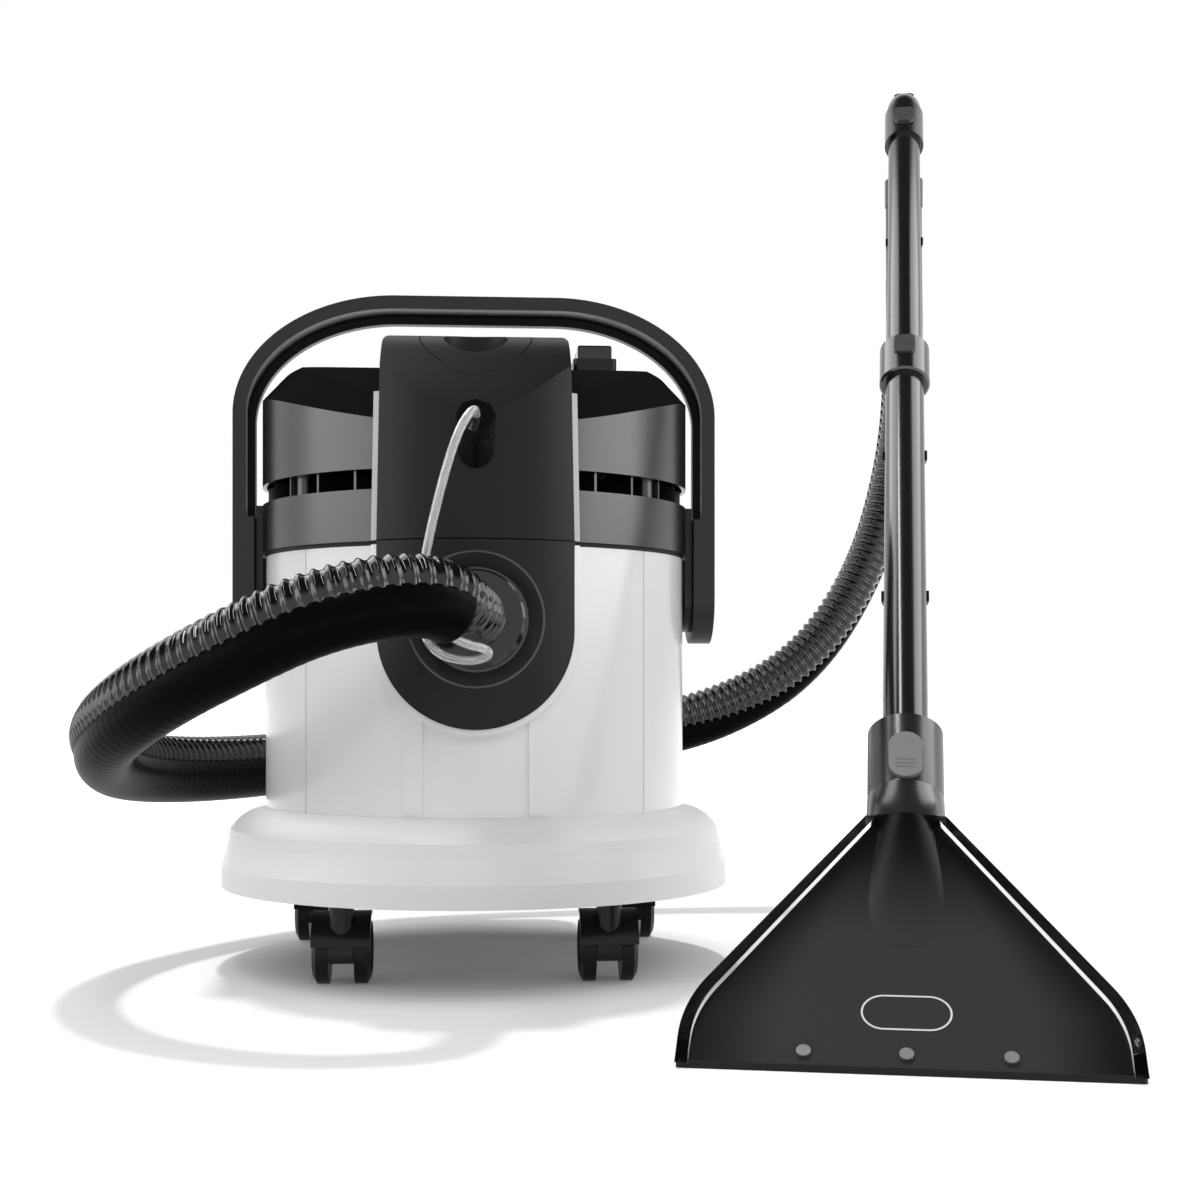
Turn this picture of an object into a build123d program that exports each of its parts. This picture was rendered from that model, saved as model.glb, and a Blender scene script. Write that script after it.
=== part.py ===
from build123d import *
from math import asin, cos, degrees, radians, sin, sqrt, tan
import os

# Spray extraction carpet cleaner: a drum machine on casters, its suction hose and its floor wand.
# Millimetres, +Z up, the machine's front towards -Y. The origin is on the floor, in the middle of
# the box round the machine and the wand.

# Places of the machine's axis and of the wand's mouth
AXIS_X = -123.8
AXIS_Y = 50.5
MOUTH_X = 233.0
MOUTH_Y = -433.0
WAND_TURN = 13.56

# Clearances
RUN_FIT = 0.05
SLIP_FIT = 0.3
SEAM = 0.8

# Base
BASE_R = 193.0
BASE_WALL = 4.0
RIM_Z = 60.5
RIM_TOP_Z = 77.0
BAND_STEP = 5.0
BAND_Z = 95.0
SHOULDER_Z = 104.0
BASE_TOP = 120.0
SEAT_Z = 100.0
LEDGE_WIDTH = 176.0
LEDGE_OUT = 51.0
LEDGE_TOP = 98.0
LEDGE_CORNER = 38.0
SOCKET_R = 17.0
SOCKET_WALL = 3.5
SOCKET_X = 46.0
SOCKET_TOP = 122.0
SOCKET_DEPTH = 45.0

# Casters
WHEEL_R = 24.0
WHEEL_WIDTH = 11.6
WHEEL_GAP = 18.0
TRAIL = 15.0
STEM_R = 5.0
STEM_TOP = 88.0
AXLE_R = 3.0
HOOD_WALL = 2.4
STEM_INSET = 36.0
FRONT_STEM_TURN = 36.8
REAR_STEM_TURN = 125.8

# Drum
DRUM_R = 160.0
DRUM_WALL = 3.0
DRUM_TOP = 308.0
SPIGOT_STEP = 4.0
FLOOR_WALL = 4.0
GROOVE_TURN = 49.0
GROOVE_WIDTH = 1.4
GROOVE_DEPTH = 0.8
RIB_X = 43.0
RIB_WIDTH = 14.0
RIB_HEIGHT = 1.3

# Front panel
PANEL_HALF = 68.0
PANEL_TOP_HALF = 65.0
PANEL_FRONT = 179.0
PANEL_EDGE = 158.0
PANEL_LOW = 181.0
TRIM_WIDTH = 4.0
TRIM_SET_BACK = 2.5
TRIM_TOP = 413.0
CREST_Z = 462.0
NOSE_R = 88.0
NOSE_OUT = 2.0
HUMP_END = 104.0
HUMP_END_Z = 450.0
HUMP_CORNER = 13.0
HUMP_JOIN = 60.0

# Hose port
PORT_Z = 256.0
BEZEL_R = 47.0
BEZEL_INNER_R = 34.0
COLLAR_R = 31.0
COLLAR_END = 206.0

# Head
SEAL = 3.0
HEAD_R = 162.5
RING_WALL = 5.5
PLATE = 6.0
SLOT_Z = 347.0
SLOT_HEIGHT = 14.0
FIN_COUNT = 28
FIN_THICK = 2.0
HEAD_WALL = 3.0
ROOF_SIDE_Z = 425.0
ROOF_BEND_X = 145.0
ROOF_BEND_Z = 444.0
ROOF_FLAT_X = 73.0
ROOF_TOP = 453.0
ROOF_CLEAR = 2.0
SLOPE_HALF_X = 164.5
SLOPE_HALF_Y = 135.5
SLOPE_RUN = 176.0
ARCH_Y = 145.0
ARCH_Z = 405.0
HEAD_SCREW_R = 150.0
BOSS_R = 6.0

# Top latch
COVER_R = 39.0
COVER_Y = -126.0
COVER_LOW = 408.0
POCKET_R = 22.5
POCKET_Z = 428.0
LATCH_WIDTH = 24.0
LATCH_PIN_R = 2.2
LATCH_PIVOT_Y = -113.0
LATCH_PIVOT_Z = 446.0
LATCH_REACH = 30.0
LATCH_THICK = 4.5

# Switches
SWITCH_X = 90.5
SWITCH_BASE_WIDTH = 33.0
SWITCH_BASE_DEPTH = 66.0
SWITCH_BASE_TOP = 460.0
SWITCH_WIDTH = 26.0
SWITCH_DEPTH = 25.0
SWITCH_PITCH = 30.0
SWITCH_TOP = 471.0
SWITCH_TRAVEL = 2.5

# Carry handle
HANDLE_GAP = 3.5
HANDLE_TOP = 505.5
HANDLE_CORNER = 84.0
HANDLE_DEPTH = 68.0
HANDLE_THICK = 10.0
HANDLE_WEB = 4.0
HANDLE_LIP = 9.0
PIVOT_Z = 278.0
ARM_HEAD_THICK = 16.0
ARM_HEAD_TOP = 338.0
PIN_R = 6.0
CAP_R = 21.5
CAP_THICK = 1.6
BRACKET_WIDTH = 50.0

# Spray outlet on the panel
SPRAY_Z = 372.0
SPRAY_TILT = 28.0
SPRAY_R = 12.5
SPRAY_LENGTH = 24.0
PLUG_R = 9.0
PLUG_LENGTH = 15.0

# Inside the head and the drum
INLET_R = 20.0
FAN_R = 62.0
FAN_HEIGHT = 26.0
FAN_WALL = 3.0
BLADE_COUNT = 9
SHAFT_R = 4.0
MOTOR_R = 50.0
MOTOR_HEIGHT = 60.0
CAGE_R = 26.0
CAGE_WALL = 3.0
CAGE_LOW = 283.0
BALL_R = 24.0
FILTER_R = 46.0
TANK_R = 148.0
TANK_FRONT = 54.0
TANK_TOP = 272.0
TANK_WALL = 2.5
PUMP_Y = 100.0
PUMP_WIDTH = 56.0
PUMP_DEPTH = 40.0
PUMP_HEIGHT = 38.0
PIPE_R = 4.0

# Wand
HOOD_PITCH = 38.0
TUBE_PITCH = 50.8
TUBE_START_T = 239.0
TUBE_START_Z = 188.0
NOZZLE_HALF = 126.0
NOZZLE_SIDE = 40.0
FAN_TOP = 200.0
FAN_TOP_HALF = 25.0
NOZZLE_CORNER = 85.0
PLATE_BACK = 16.0
PLATE_THICK = 3.0
COVER_FRONT = 7.0
COVER_BACK = 1.0
RIM_WIDTH = 7.0
LIP_HEIGHT = 4.0
NECK_R = 25.0
NECK_END = -14.0
LOWER_R = 15.0
UPPER_R = 14.0
TUBE_WALL = 1.6
MID_LOW = 336.0
MID_HIGH = 378.0
MID_R = 19.7
TOP_LOW = 660.0
TOP_HIGH = 706.0
TOP_R = 17.3
GRIP_R = 15.0
GRIP_BORE = 10.0
CUFF_R = 18.6
CUFF_LENGTH = 26.0
WATER_R = 3.5
WATER_OFFSET = 29.5
CLIP_LENGTH = 10.0

# Hose
HOSE_R = 20.0
HOSE_BORE = 15.0
RIB_DEPTH = 2.4
RIB_COUNT = 72
SLEEVE_R = 20.0
SLEEVE_DROP = 13.0
SLEEVE_TILT = 25.0
SLEEVE_FIT = 0.8
SLEEVE_TURN_STEP = 12.0
SLEEVE_TURN_STATIONS = 8
SLEEVE_STATIONS = 58
SPRAY_TUBE_R = 3.0

HEAD_BOTTOM = DRUM_TOP + SEAL
SLOT_TOP = SLOT_Z + SLOT_HEIGHT
SPIGOT_R = DRUM_R - SPIGOT_STEP
SEAT_R = SPIGOT_R + SLIP_FIT
BAND_R = BASE_R - BAND_STEP
HANDLE_HALF = HEAD_R + HANDLE_GAP + ARM_HEAD_THICK
LEFT_RIGHT = (-1, 1)


def at(x, y, z):
    """A point measured from the machine's axis at floor level."""
    return Vector(AXIS_X + x, AXIS_Y + y, z)


MACHINE = Plane(at(0, 0, 0))
FRONT = Plane(at(0, 0, 0), x_dir=(1, 0, 0), z_dir=(0, -1, 0))
SIDE = Plane(at(0, 0, 0), x_dir=(0, 1, 0), z_dir=(1, 0, 0))
UPRIGHT = Axis(at(0, 0, 0), (0, 0, 1))


def facing(turn):
    """An upright plane through the axis that faces outward, turned this far from the front."""
    angle = radians(turn)
    return Plane(
        at(0, 0, 0),
        x_dir=(cos(angle), sin(angle), 0),
        z_dir=(sin(angle), -cos(angle), 0),
    )


def save(part, label):
    """Name a finished piece and write it."""
    part.label = label
    export_step(part, f"parts/{label}.step")


os.makedirs("parts", exist_ok=True)

# Base tray: a moulded turntable with caster bosses and a rear ledge with two accessory sockets
STEM_CIRCLE_R = BASE_R - STEM_INSET
stems = {}
for end, turn in (("front", FRONT_STEM_TURN), ("rear", REAR_STEM_TURN)):
    for hand, side in zip(("left", "right"), LEFT_RIGHT):
        stem_x = side * STEM_CIRCLE_R * sin(radians(turn))
        stems[f"{end}_{hand}"] = (stem_x, -STEM_CIRCLE_R * cos(radians(turn)))
LEDGE_END = BASE_R + LEDGE_OUT
SHOULDER_R = BAND_R - 1.5
SHOULDER_MID_R = (SHOULDER_R + DRUM_R) / 2 + 2.5
SHOULDER_MID_Z = BASE_TOP - 0.36 * (BASE_TOP - SHOULDER_Z)
STEM_BOSS_R = STEM_R + 6
LEDGE_START = BASE_R - 45
POCKET_START = BASE_R + 3
SOCKET_Y = LEDGE_END - SOCKET_R - SOCKET_WALL - 5
sockets = [(side * SOCKET_X, SOCKET_Y) for side in LEFT_RIGHT]
with BuildPart() as base_tray:
    with BuildSketch(FRONT):
        with BuildLine():
            Polyline(
                (0, SEAT_Z),
                (SEAT_R, SEAT_Z),
                (SEAT_R, BASE_TOP),
                (DRUM_R + 1, BASE_TOP),
            )
            ThreePointArc(
                (DRUM_R + 1, BASE_TOP),
                (SHOULDER_MID_R, SHOULDER_MID_Z),
                (SHOULDER_R, SHOULDER_Z),
            )
            Polyline(
                (SHOULDER_R, SHOULDER_Z),
                (BAND_R, BAND_Z),
                (BASE_R, RIM_TOP_Z),
                (BASE_R, RIM_Z),
                (BASE_R - BASE_WALL, RIM_Z),
                (BASE_R - BASE_WALL, RIM_TOP_Z),
                (BAND_R - BASE_WALL, BAND_Z - 2),
                (SHOULDER_MID_R - BASE_WALL, SHOULDER_Z),
                (SEAT_R + BASE_WALL, BASE_TOP - 2 * BASE_WALL),
                (SEAT_R + BASE_WALL, SEAT_Z - BASE_WALL),
                (0, SEAT_Z - BASE_WALL),
                (0, SEAT_Z),
            )
        make_face()
    revolve(axis=UPRIGHT)
    with BuildSketch(MACHINE.offset(RIM_Z)) as ledge:
        with Locations((0, (LEDGE_START + LEDGE_END) / 2)):
            Rectangle(LEDGE_WIDTH, LEDGE_END - LEDGE_START)
        fillet(ledge.vertices().group_by(Axis.Y)[-1], radius=LEDGE_CORNER)
    extrude(amount=LEDGE_TOP - RIM_Z)
    with BuildSketch(MACHINE.offset(RIM_Z)):
        with Locations((0, (POCKET_START + LEDGE_END - BASE_WALL) / 2)):
            Rectangle(LEDGE_WIDTH - 2 * LEDGE_CORNER, LEDGE_END - BASE_WALL - POCKET_START)
    extrude(amount=LEDGE_TOP - BASE_WALL - RIM_Z, mode=Mode.SUBTRACT)
    with BuildSketch(MACHINE.offset(RIM_Z)):
        with Locations(*sockets):
            Circle(SOCKET_R + SOCKET_WALL)
    extrude(amount=SOCKET_TOP - RIM_Z)
    with BuildSketch(MACHINE.offset(SOCKET_TOP)):
        with Locations(*sockets):
            Circle(SOCKET_R)
    extrude(amount=-SOCKET_DEPTH, mode=Mode.SUBTRACT)
    with BuildSketch(MACHINE.offset(RIM_Z)):
        with Locations(*stems.values()):
            Circle(STEM_BOSS_R)
    extrude(amount=SEAT_Z - BASE_WALL / 2 - RIM_Z)
    with BuildSketch(MACHINE.offset(RIM_Z)):
        with Locations(*stems.values()):
            Circle(STEM_R + RUN_FIT)
    extrude(amount=STEM_TOP + 1 - RIM_Z, mode=Mode.SUBTRACT)
save(base_tray.part, "base_tray")

# Casters: a hooded fork with its stem and axle, and two wheels each
AXLE_Z = WHEEL_R
WEB_HALF = WHEEL_GAP / 2 - SLIP_FIT
WHEEL_IN = WHEEL_GAP / 2
WHEEL_OUT = WHEEL_IN + WHEEL_WIDTH
WHEEL_DISH = 2.0
AXLE_END = WHEEL_OUT - 2 * WHEEL_DISH
HOOD_R = WHEEL_R + SLIP_FIT + 0.9
FORK_TOP = RIM_Z - SLIP_FIT
FORK_LOW = 0.72 * WHEEL_R
for corner, (stem_x, stem_y) in stems.items():
    across = Plane(at(stem_x, stem_y + TRAIL, 0), x_dir=(0, 1, 0), z_dir=(1, 0, 0))
    axle = Axis(at(stem_x, stem_y + TRAIL, AXLE_Z), (1, 0, 0))
    with BuildPart() as fork:
        with BuildSketch(across):
            with Locations((0, AXLE_Z)):
                Circle(HOOD_R)
            with Locations((0, FORK_LOW - WHEEL_R)):
                Rectangle(4 * WHEEL_R, 2 * WHEEL_R, mode=Mode.SUBTRACT)
        extrude(amount=WEB_HALF, both=True)
        with BuildSketch(across):
            with Locations((0, AXLE_Z)):
                Circle(HOOD_R + HOOD_WALL)
                Circle(HOOD_R, mode=Mode.SUBTRACT)
            with Locations((2 * WHEEL_R + 6, AXLE_Z)):
                Rectangle(4 * WHEEL_R, 4 * WHEEL_R, mode=Mode.SUBTRACT)
            with Locations((0, AXLE_Z - 2 * WHEEL_R + 5)):
                Rectangle(4 * WHEEL_R, 4 * WHEEL_R, mode=Mode.SUBTRACT)
        extrude(amount=WHEEL_OUT, both=True)
        with BuildSketch(Plane(at(stem_x, stem_y, AXLE_Z + 4))):
            Circle(STEM_R + 4)
        extrude(amount=FORK_TOP - AXLE_Z - 4)
        with BuildSketch(Plane(at(stem_x, stem_y, AXLE_Z))):
            Circle(STEM_R)
        extrude(amount=STEM_TOP - AXLE_Z)
        for side in LEFT_RIGHT:
            with BuildSketch(across.offset(side * WEB_HALF)):
                with Locations((0, AXLE_Z)):
                    Circle(WHEEL_R + SLIP_FIT)
            extrude(amount=side * WHEEL_WIDTH * 2, mode=Mode.SUBTRACT)
        with BuildSketch(across):
            with Locations((0, AXLE_Z)):
                Circle(AXLE_R)
        extrude(amount=AXLE_END - SLIP_FIT, both=True)
    save(fork.part, f"caster_fork_{corner}")
    with BuildPart() as wheels:
        for side in LEFT_RIGHT:
            profile = Plane(axle.position, x_dir=(side, 0, 0), z_dir=(0, -side, 0))
            with BuildSketch(profile):
                with BuildLine():
                    Polyline(
                        (WHEEL_OUT - WHEEL_DISH, 0),
                        (WHEEL_OUT - WHEEL_DISH, WHEEL_R - 7),
                        (WHEEL_OUT, WHEEL_R - 5),
                        (WHEEL_OUT - 3, WHEEL_R),
                        (WHEEL_IN, WHEEL_R),
                        (WHEEL_IN, AXLE_R + RUN_FIT),
                        (AXLE_END, AXLE_R + RUN_FIT),
                        (AXLE_END, 0),
                        close=True,
                    )
                make_face()
            revolve(axis=axle)
    save(wheels.part, f"caster_wheels_{corner}")


# Front panel: its lower end as seen from the front, and its convex plan
U_Z = PANEL_LOW + PANEL_HALF
PANEL_SAG = PANEL_FRONT - PANEL_EDGE
PANEL_R = (PANEL_HALF**2 + PANEL_SAG**2) / (2 * PANEL_SAG)


def lower_panel_form(grow, set_back):
    """The block of the lower panel, from the drum's wall outward."""
    with BuildPart() as form:
        with BuildSketch(MACHINE.offset(PANEL_LOW - 2 * grow - 1)):
            with Locations((0, PANEL_R + set_back - PANEL_FRONT)):
                Circle(PANEL_R)
        extrude(amount=HEAD_BOTTOM - SEAM - PANEL_LOW + 2 * grow + 1)
        with BuildSketch(FRONT):
            with Locations((0, U_Z)):
                Circle(PANEL_HALF + grow)
            with Locations((0, (U_Z + HEAD_BOTTOM) / 2)):
                Rectangle(2 * (PANEL_HALF + grow), HEAD_BOTTOM - U_Z)
        extrude(amount=2 * PANEL_FRONT, mode=Mode.INTERSECT)
    return form.part


def roof_slope(inset):
    """The sloping elliptical flanks that draw the head in towards its roof."""
    with BuildPart() as slope:
        for height in (SLOT_TOP - 5, ROOF_TOP + 15):
            share = 1 + (ROOF_SIDE_Z - height) / SLOPE_RUN
            with BuildSketch(MACHINE.offset(height)):
                Ellipse(SLOPE_HALF_X * share - inset, SLOPE_HALF_Y * share - inset)
        loft(ruled=True)
    return slope.part


def head_form(inset):
    """The head above the exhaust slot: a round band under an arched roof with bevelled sides."""
    with BuildPart() as form:
        radius = HEAD_R - inset
        with BuildSketch(FRONT):
            with BuildLine():
                Polyline(
                    (-radius, SLOT_TOP),
                    (radius, SLOT_TOP),
                    (radius, ROOF_SIDE_Z - inset),
                    (ROOF_BEND_X - inset, ROOF_BEND_Z - inset),
                    (ROOF_FLAT_X, ROOF_TOP + ROOF_CLEAR - inset),
                    (-ROOF_FLAT_X, ROOF_TOP + ROOF_CLEAR - inset),
                    (-ROOF_BEND_X + inset, ROOF_BEND_Z - inset),
                    (-radius, ROOF_SIDE_Z - inset),
                    close=True,
                )
            make_face()
        extrude(amount=HEAD_R, both=True)
        with BuildSketch(MACHINE.offset(SLOT_TOP)):
            Circle(radius)
        extrude(amount=ROOF_TOP, mode=Mode.INTERSECT)
        with BuildSketch(SIDE):
            with BuildLine():
                ThreePointArc(
                    (-ARCH_Y, ARCH_Z - inset), (0, ROOF_TOP - inset), (ARCH_Y, ARCH_Z - inset)
                )
                Polyline(
                    (ARCH_Y, ARCH_Z - inset),
                    (2 * ARCH_Y, ARCH_Z - ARCH_Y),
                    (2 * ARCH_Y, 0),
                    (-2 * ARCH_Y, 0),
                    (-2 * ARCH_Y, ARCH_Z - ARCH_Y),
                    (-ARCH_Y, ARCH_Z - inset),
                )
            make_face()
        extrude(amount=2 * HEAD_R, both=True, mode=Mode.INTERSECT)
        add(roof_slope(inset), mode=Mode.INTERSECT)
    return form.part


def upper_panel_form(grow, set_back):
    """The upper panel: an upright front that bends over the roof as a long hump."""
    with BuildPart() as form:
        with BuildSketch(FRONT) as front_view:
            with BuildLine():
                Polyline(
                    (-PANEL_HALF - grow, HEAD_BOTTOM),
                    (PANEL_HALF + grow, HEAD_BOTTOM),
                    (PANEL_TOP_HALF + grow, CREST_Z + ROOF_CLEAR),
                    (-PANEL_TOP_HALF - grow, CREST_Z + ROOF_CLEAR),
                    close=True,
                )
            make_face()
            fillet(front_view.vertices().group_by(Axis.Y)[-1], radius=HUMP_CORNER)
        extrude(amount=2 * PANEL_FRONT, both=True)
        with BuildSketch(SIDE):
            nose_y = -PANEL_FRONT + set_back - NOSE_OUT
            with BuildLine():
                Line((nose_y, HEAD_BOTTOM), (nose_y, CREST_Z - NOSE_R))
                JernArc((nose_y, CREST_Z - NOSE_R), (0, 1), NOSE_R, -90)
                Polyline(
                    (nose_y + NOSE_R, CREST_Z),
                    (HUMP_END - HUMP_CORNER, HUMP_END_Z),
                    (HUMP_END, HUMP_END_Z - HUMP_CORNER),
                    (HUMP_END, HEAD_BOTTOM),
                    (nose_y, HEAD_BOTTOM),
                )
            make_face()
        extrude(amount=2 * PANEL_HALF, both=True, mode=Mode.INTERSECT)
        with BuildSketch(MACHINE.offset(HEAD_BOTTOM)):
            with Locations((0, PANEL_R + set_back - PANEL_FRONT)):
                Circle(PANEL_R)
            with Locations((0, (HUMP_END - HUMP_JOIN) / 2)):
                Rectangle(2.5 * PANEL_HALF, HUMP_END + HUMP_JOIN + 2)
        extrude(amount=CREST_Z + 1 - HEAD_BOTTOM, mode=Mode.INTERSECT)
        with BuildSketch(MACHINE.offset(HEAD_BOTTOM)):
            Circle(HEAD_R)
        extrude(amount=SLOT_TOP - HEAD_BOTTOM, mode=Mode.SUBTRACT)
        add(head_form(0), mode=Mode.SUBTRACT)
    return form.part


# Drum: the dirty water container, with its grooves, flat ribs and the raised edge round the panel
RIB_TURN = degrees(asin(RIB_X / DRUM_R))
panel_block = lower_panel_form(0, 0)
panel_edge = lower_panel_form(TRIM_WIDTH, TRIM_SET_BACK)
with BuildPart() as container:
    with BuildSketch(FRONT):
        with BuildLine():
            Polyline(
                (0, SEAT_Z),
                (SPIGOT_R, SEAT_Z),
                (SPIGOT_R, BASE_TOP),
                (DRUM_R, BASE_TOP),
                (DRUM_R, DRUM_TOP),
                (DRUM_R - DRUM_WALL, DRUM_TOP),
                (DRUM_R - DRUM_WALL, BASE_TOP + DRUM_WALL),
                (SPIGOT_R - DRUM_WALL, BASE_TOP),
                (SPIGOT_R - DRUM_WALL, SEAT_Z + FLOOR_WALL),
                (0, SEAT_Z + FLOOR_WALL),
                close=True,
            )
        make_face()
    revolve(axis=UPRIGHT)
    for side in LEFT_RIGHT:
        with BuildSketch(facing(side * RIB_TURN).offset(DRUM_R - DRUM_WALL / 2)):
            with Locations((0, (BASE_TOP + U_Z) / 2)):
                Rectangle(RIB_WIDTH, U_Z - BASE_TOP - 4)
        extrude(amount=DRUM_WALL / 2 + RIB_HEIGHT)
        with BuildSketch(facing(side * GROOVE_TURN).offset(DRUM_R - GROOVE_DEPTH)):
            with Locations((0, (BASE_TOP + DRUM_TOP) / 2)):
                Rectangle(GROOVE_WIDTH, DRUM_TOP - BASE_TOP)
        extrude(amount=2 * GROOVE_DEPTH, mode=Mode.SUBTRACT)
    with BuildSketch(MACHINE.offset(PANEL_LOW - TRIM_WIDTH), mode=Mode.PRIVATE) as drum_inside:
        Circle(DRUM_R - DRUM_WALL / 2)
    inside = extrude(drum_inside.sketch, amount=HEAD_BOTTOM, mode=Mode.PRIVATE)
    with BuildSketch(MACHINE.offset(DRUM_TOP), mode=Mode.PRIVATE) as above_drum:
        Circle(2 * DRUM_R)
    above = extrude(above_drum.sketch, amount=HEAD_BOTTOM, mode=Mode.PRIVATE)
    add(panel_edge - inside - above)
    with BuildSketch(MACHINE.offset(PANEL_LOW), mode=Mode.PRIVATE) as drum_outside:
        Circle(DRUM_R)
    outside = extrude(drum_outside.sketch, amount=HEAD_BOTTOM, mode=Mode.PRIVATE)
    add(panel_block - outside, mode=Mode.SUBTRACT)
    with BuildSketch(FRONT):
        with Locations((0, PORT_Z)):
            Circle(BEZEL_INNER_R)
    extrude(amount=2 * DRUM_R, mode=Mode.SUBTRACT)
save(container.part, "container")

with BuildPart() as panel_lower:
    add(panel_block)
    with BuildSketch(MACHINE.offset(PANEL_LOW)):
        Circle(DRUM_R)
    extrude(amount=HEAD_BOTTOM, mode=Mode.SUBTRACT)
    with BuildSketch(MACHINE.offset(DRUM_TOP)):
        Circle(HEAD_R + SLIP_FIT)
    extrude(amount=HEAD_BOTTOM, mode=Mode.SUBTRACT)
    with BuildSketch(FRONT):
        with Locations((0, PORT_Z)):
            Circle(BEZEL_R + RUN_FIT)
    extrude(amount=2 * DRUM_R, mode=Mode.SUBTRACT)
save(panel_lower.part, "panel_lower")

# Hose port: a dished bezel round the collar that the hose ends in
PORT = Axis(at(0, 0, PORT_Z), (0, -1, 0))
BEZEL_FRONT = -PANEL_FRONT + 2
BEZEL_BACK = -DRUM_R - 3
with BuildPart() as port_bezel:
    with BuildSketch(SIDE):
        with BuildLine():
            Polyline(
                (BEZEL_FRONT, PORT_Z + BEZEL_R),
                (BEZEL_BACK, PORT_Z + BEZEL_R),
                (BEZEL_BACK, PORT_Z + BEZEL_INNER_R),
                (BEZEL_BACK - 4, PORT_Z + BEZEL_INNER_R),
                (BEZEL_BACK - 4, PORT_Z + BEZEL_INNER_R + 2),
                (BEZEL_FRONT, PORT_Z + BEZEL_R - 1.5),
                close=True,
            )
        make_face()
    revolve(axis=PORT)
save(port_bezel.part, "port_bezel")

COLLAR_BACK = -DRUM_R + 22
COLLAR_ROOT_R = BEZEL_INNER_R - SLIP_FIT
with BuildPart() as port_collar:
    with BuildSketch(SIDE):
        with BuildLine():
            Polyline(
                (COLLAR_BACK, PORT_Z + HOSE_BORE),
                (COLLAR_BACK, PORT_Z + COLLAR_ROOT_R),
                (BEZEL_FRONT, PORT_Z + COLLAR_ROOT_R),
                (BEZEL_FRONT - 2, PORT_Z + COLLAR_R),
                (-COLLAR_END + 7, PORT_Z + COLLAR_R - 1),
                (-COLLAR_END + 6, PORT_Z + COLLAR_R + 1.2),
                (-COLLAR_END + 1, PORT_Z + COLLAR_R + 1.2),
                (-COLLAR_END, PORT_Z + COLLAR_R),
                (-COLLAR_END, PORT_Z + HOSE_BORE),
                close=True,
            )
        make_face()
    revolve(axis=PORT)
save(port_collar.part, "port_collar")

# Head: the seal, the ring with the exhaust fins, and the housing over the motor
with BuildPart() as head_seal:
    with BuildSketch(MACHINE.offset(DRUM_TOP)):
        Circle(DRUM_R)
        Circle(DRUM_R - DRUM_WALL, mode=Mode.SUBTRACT)
    extrude(amount=SEAL)
save(head_seal.part, "head_seal")

PLATE_LOW = SLOT_Z - PLATE
RING_IN = HEAD_R - RING_WALL
FIN_IN = HEAD_R - 36
FIN_OUT = HEAD_R - 4.5
FIN_START = 45.0
head_screw_turns = (35, 145, 215, 325)
head_screw_places = [
    (HEAD_SCREW_R * cos(radians(turn)), HEAD_SCREW_R * sin(radians(turn)))
    for turn in head_screw_turns
]
SCREW_R = 2.0
SCREW_HEAD_R = 4.5
with BuildPart() as head_ring:
    with BuildSketch(FRONT):
        with BuildLine():
            Polyline(
                (INLET_R, PLATE_LOW),
                (INLET_R, SLOT_Z),
                (HEAD_R, SLOT_Z),
                (HEAD_R, HEAD_BOTTOM),
                (RING_IN, HEAD_BOTTOM),
                (RING_IN, PLATE_LOW),
                close=True,
            )
        make_face()
    revolve(axis=UPRIGHT)
    with BuildSketch(MACHINE.offset(SLOT_Z)):
        with PolarLocations((FIN_IN + FIN_OUT) / 2, FIN_COUNT, start_angle=FIN_START):
            Rectangle(FIN_OUT - FIN_IN, FIN_THICK)
        with Locations(*head_screw_places):
            Circle(BOSS_R)
    extrude(amount=SLOT_HEIGHT)
    with BuildSketch(MACHINE.offset(PLATE_LOW)):
        with Locations(*head_screw_places):
            Circle(SCREW_R + RUN_FIT)
        with Locations((0, PUMP_Y)):
            Circle(PIPE_R + RUN_FIT)
    extrude(amount=SLOT_TOP - PLATE_LOW, mode=Mode.SUBTRACT)
save(head_ring.part, "head_ring")

SCREW_END = SLOT_TOP + 16
GLAND_R = 9.0
GLAND_Z = (HEAD_BOTTOM + PLATE_LOW) / 2
with BuildPart() as head_housing:
    add(head_form(0))
    add(head_form(HEAD_WALL), mode=Mode.SUBTRACT)
    with BuildSketch(MACHINE.offset(SLOT_TOP)):
        with Locations(*head_screw_places):
            Circle(HEAD_R - HEAD_WALL / 2 - HEAD_SCREW_R)
    extrude(amount=SCREW_END + 4 - SLOT_TOP)
    with BuildSketch(MACHINE.offset(SLOT_TOP)):
        with Locations(*head_screw_places):
            Circle(SCREW_R)
    extrude(amount=SCREW_END - SLOT_TOP, mode=Mode.SUBTRACT)
    with BuildSketch(FRONT):
        with Locations((0, SPRAY_Z)):
            Circle(PIPE_R + 3)
    extrude(amount=2 * HEAD_R, mode=Mode.SUBTRACT)
save(head_housing.part, "head_housing")

with BuildPart() as cable_gland:
    with BuildSketch(FRONT.offset(-HEAD_R + RING_WALL / 2)):
        with Locations((0, GLAND_Z)):
            Circle(GLAND_R)
    extrude(amount=-RING_WALL / 2 - 5)
    with BuildSketch(FRONT.offset(-HEAD_R - 5)):
        with Locations((0, GLAND_Z)):
            Circle(GLAND_R - 2)
    extrude(amount=-9, taper=8)
    with BuildSketch(FRONT.offset(-HEAD_R)):
        with Locations((0, GLAND_Z)):
            Circle(PIPE_R)
    extrude(amount=-16, mode=Mode.SUBTRACT)
    with BuildSketch(MACHINE.offset(HEAD_BOTTOM)):
        Circle(HEAD_R)
    extrude(amount=SLOT_Z - HEAD_BOTTOM, mode=Mode.SUBTRACT)
save(cable_gland.part, "cable_gland")

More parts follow.
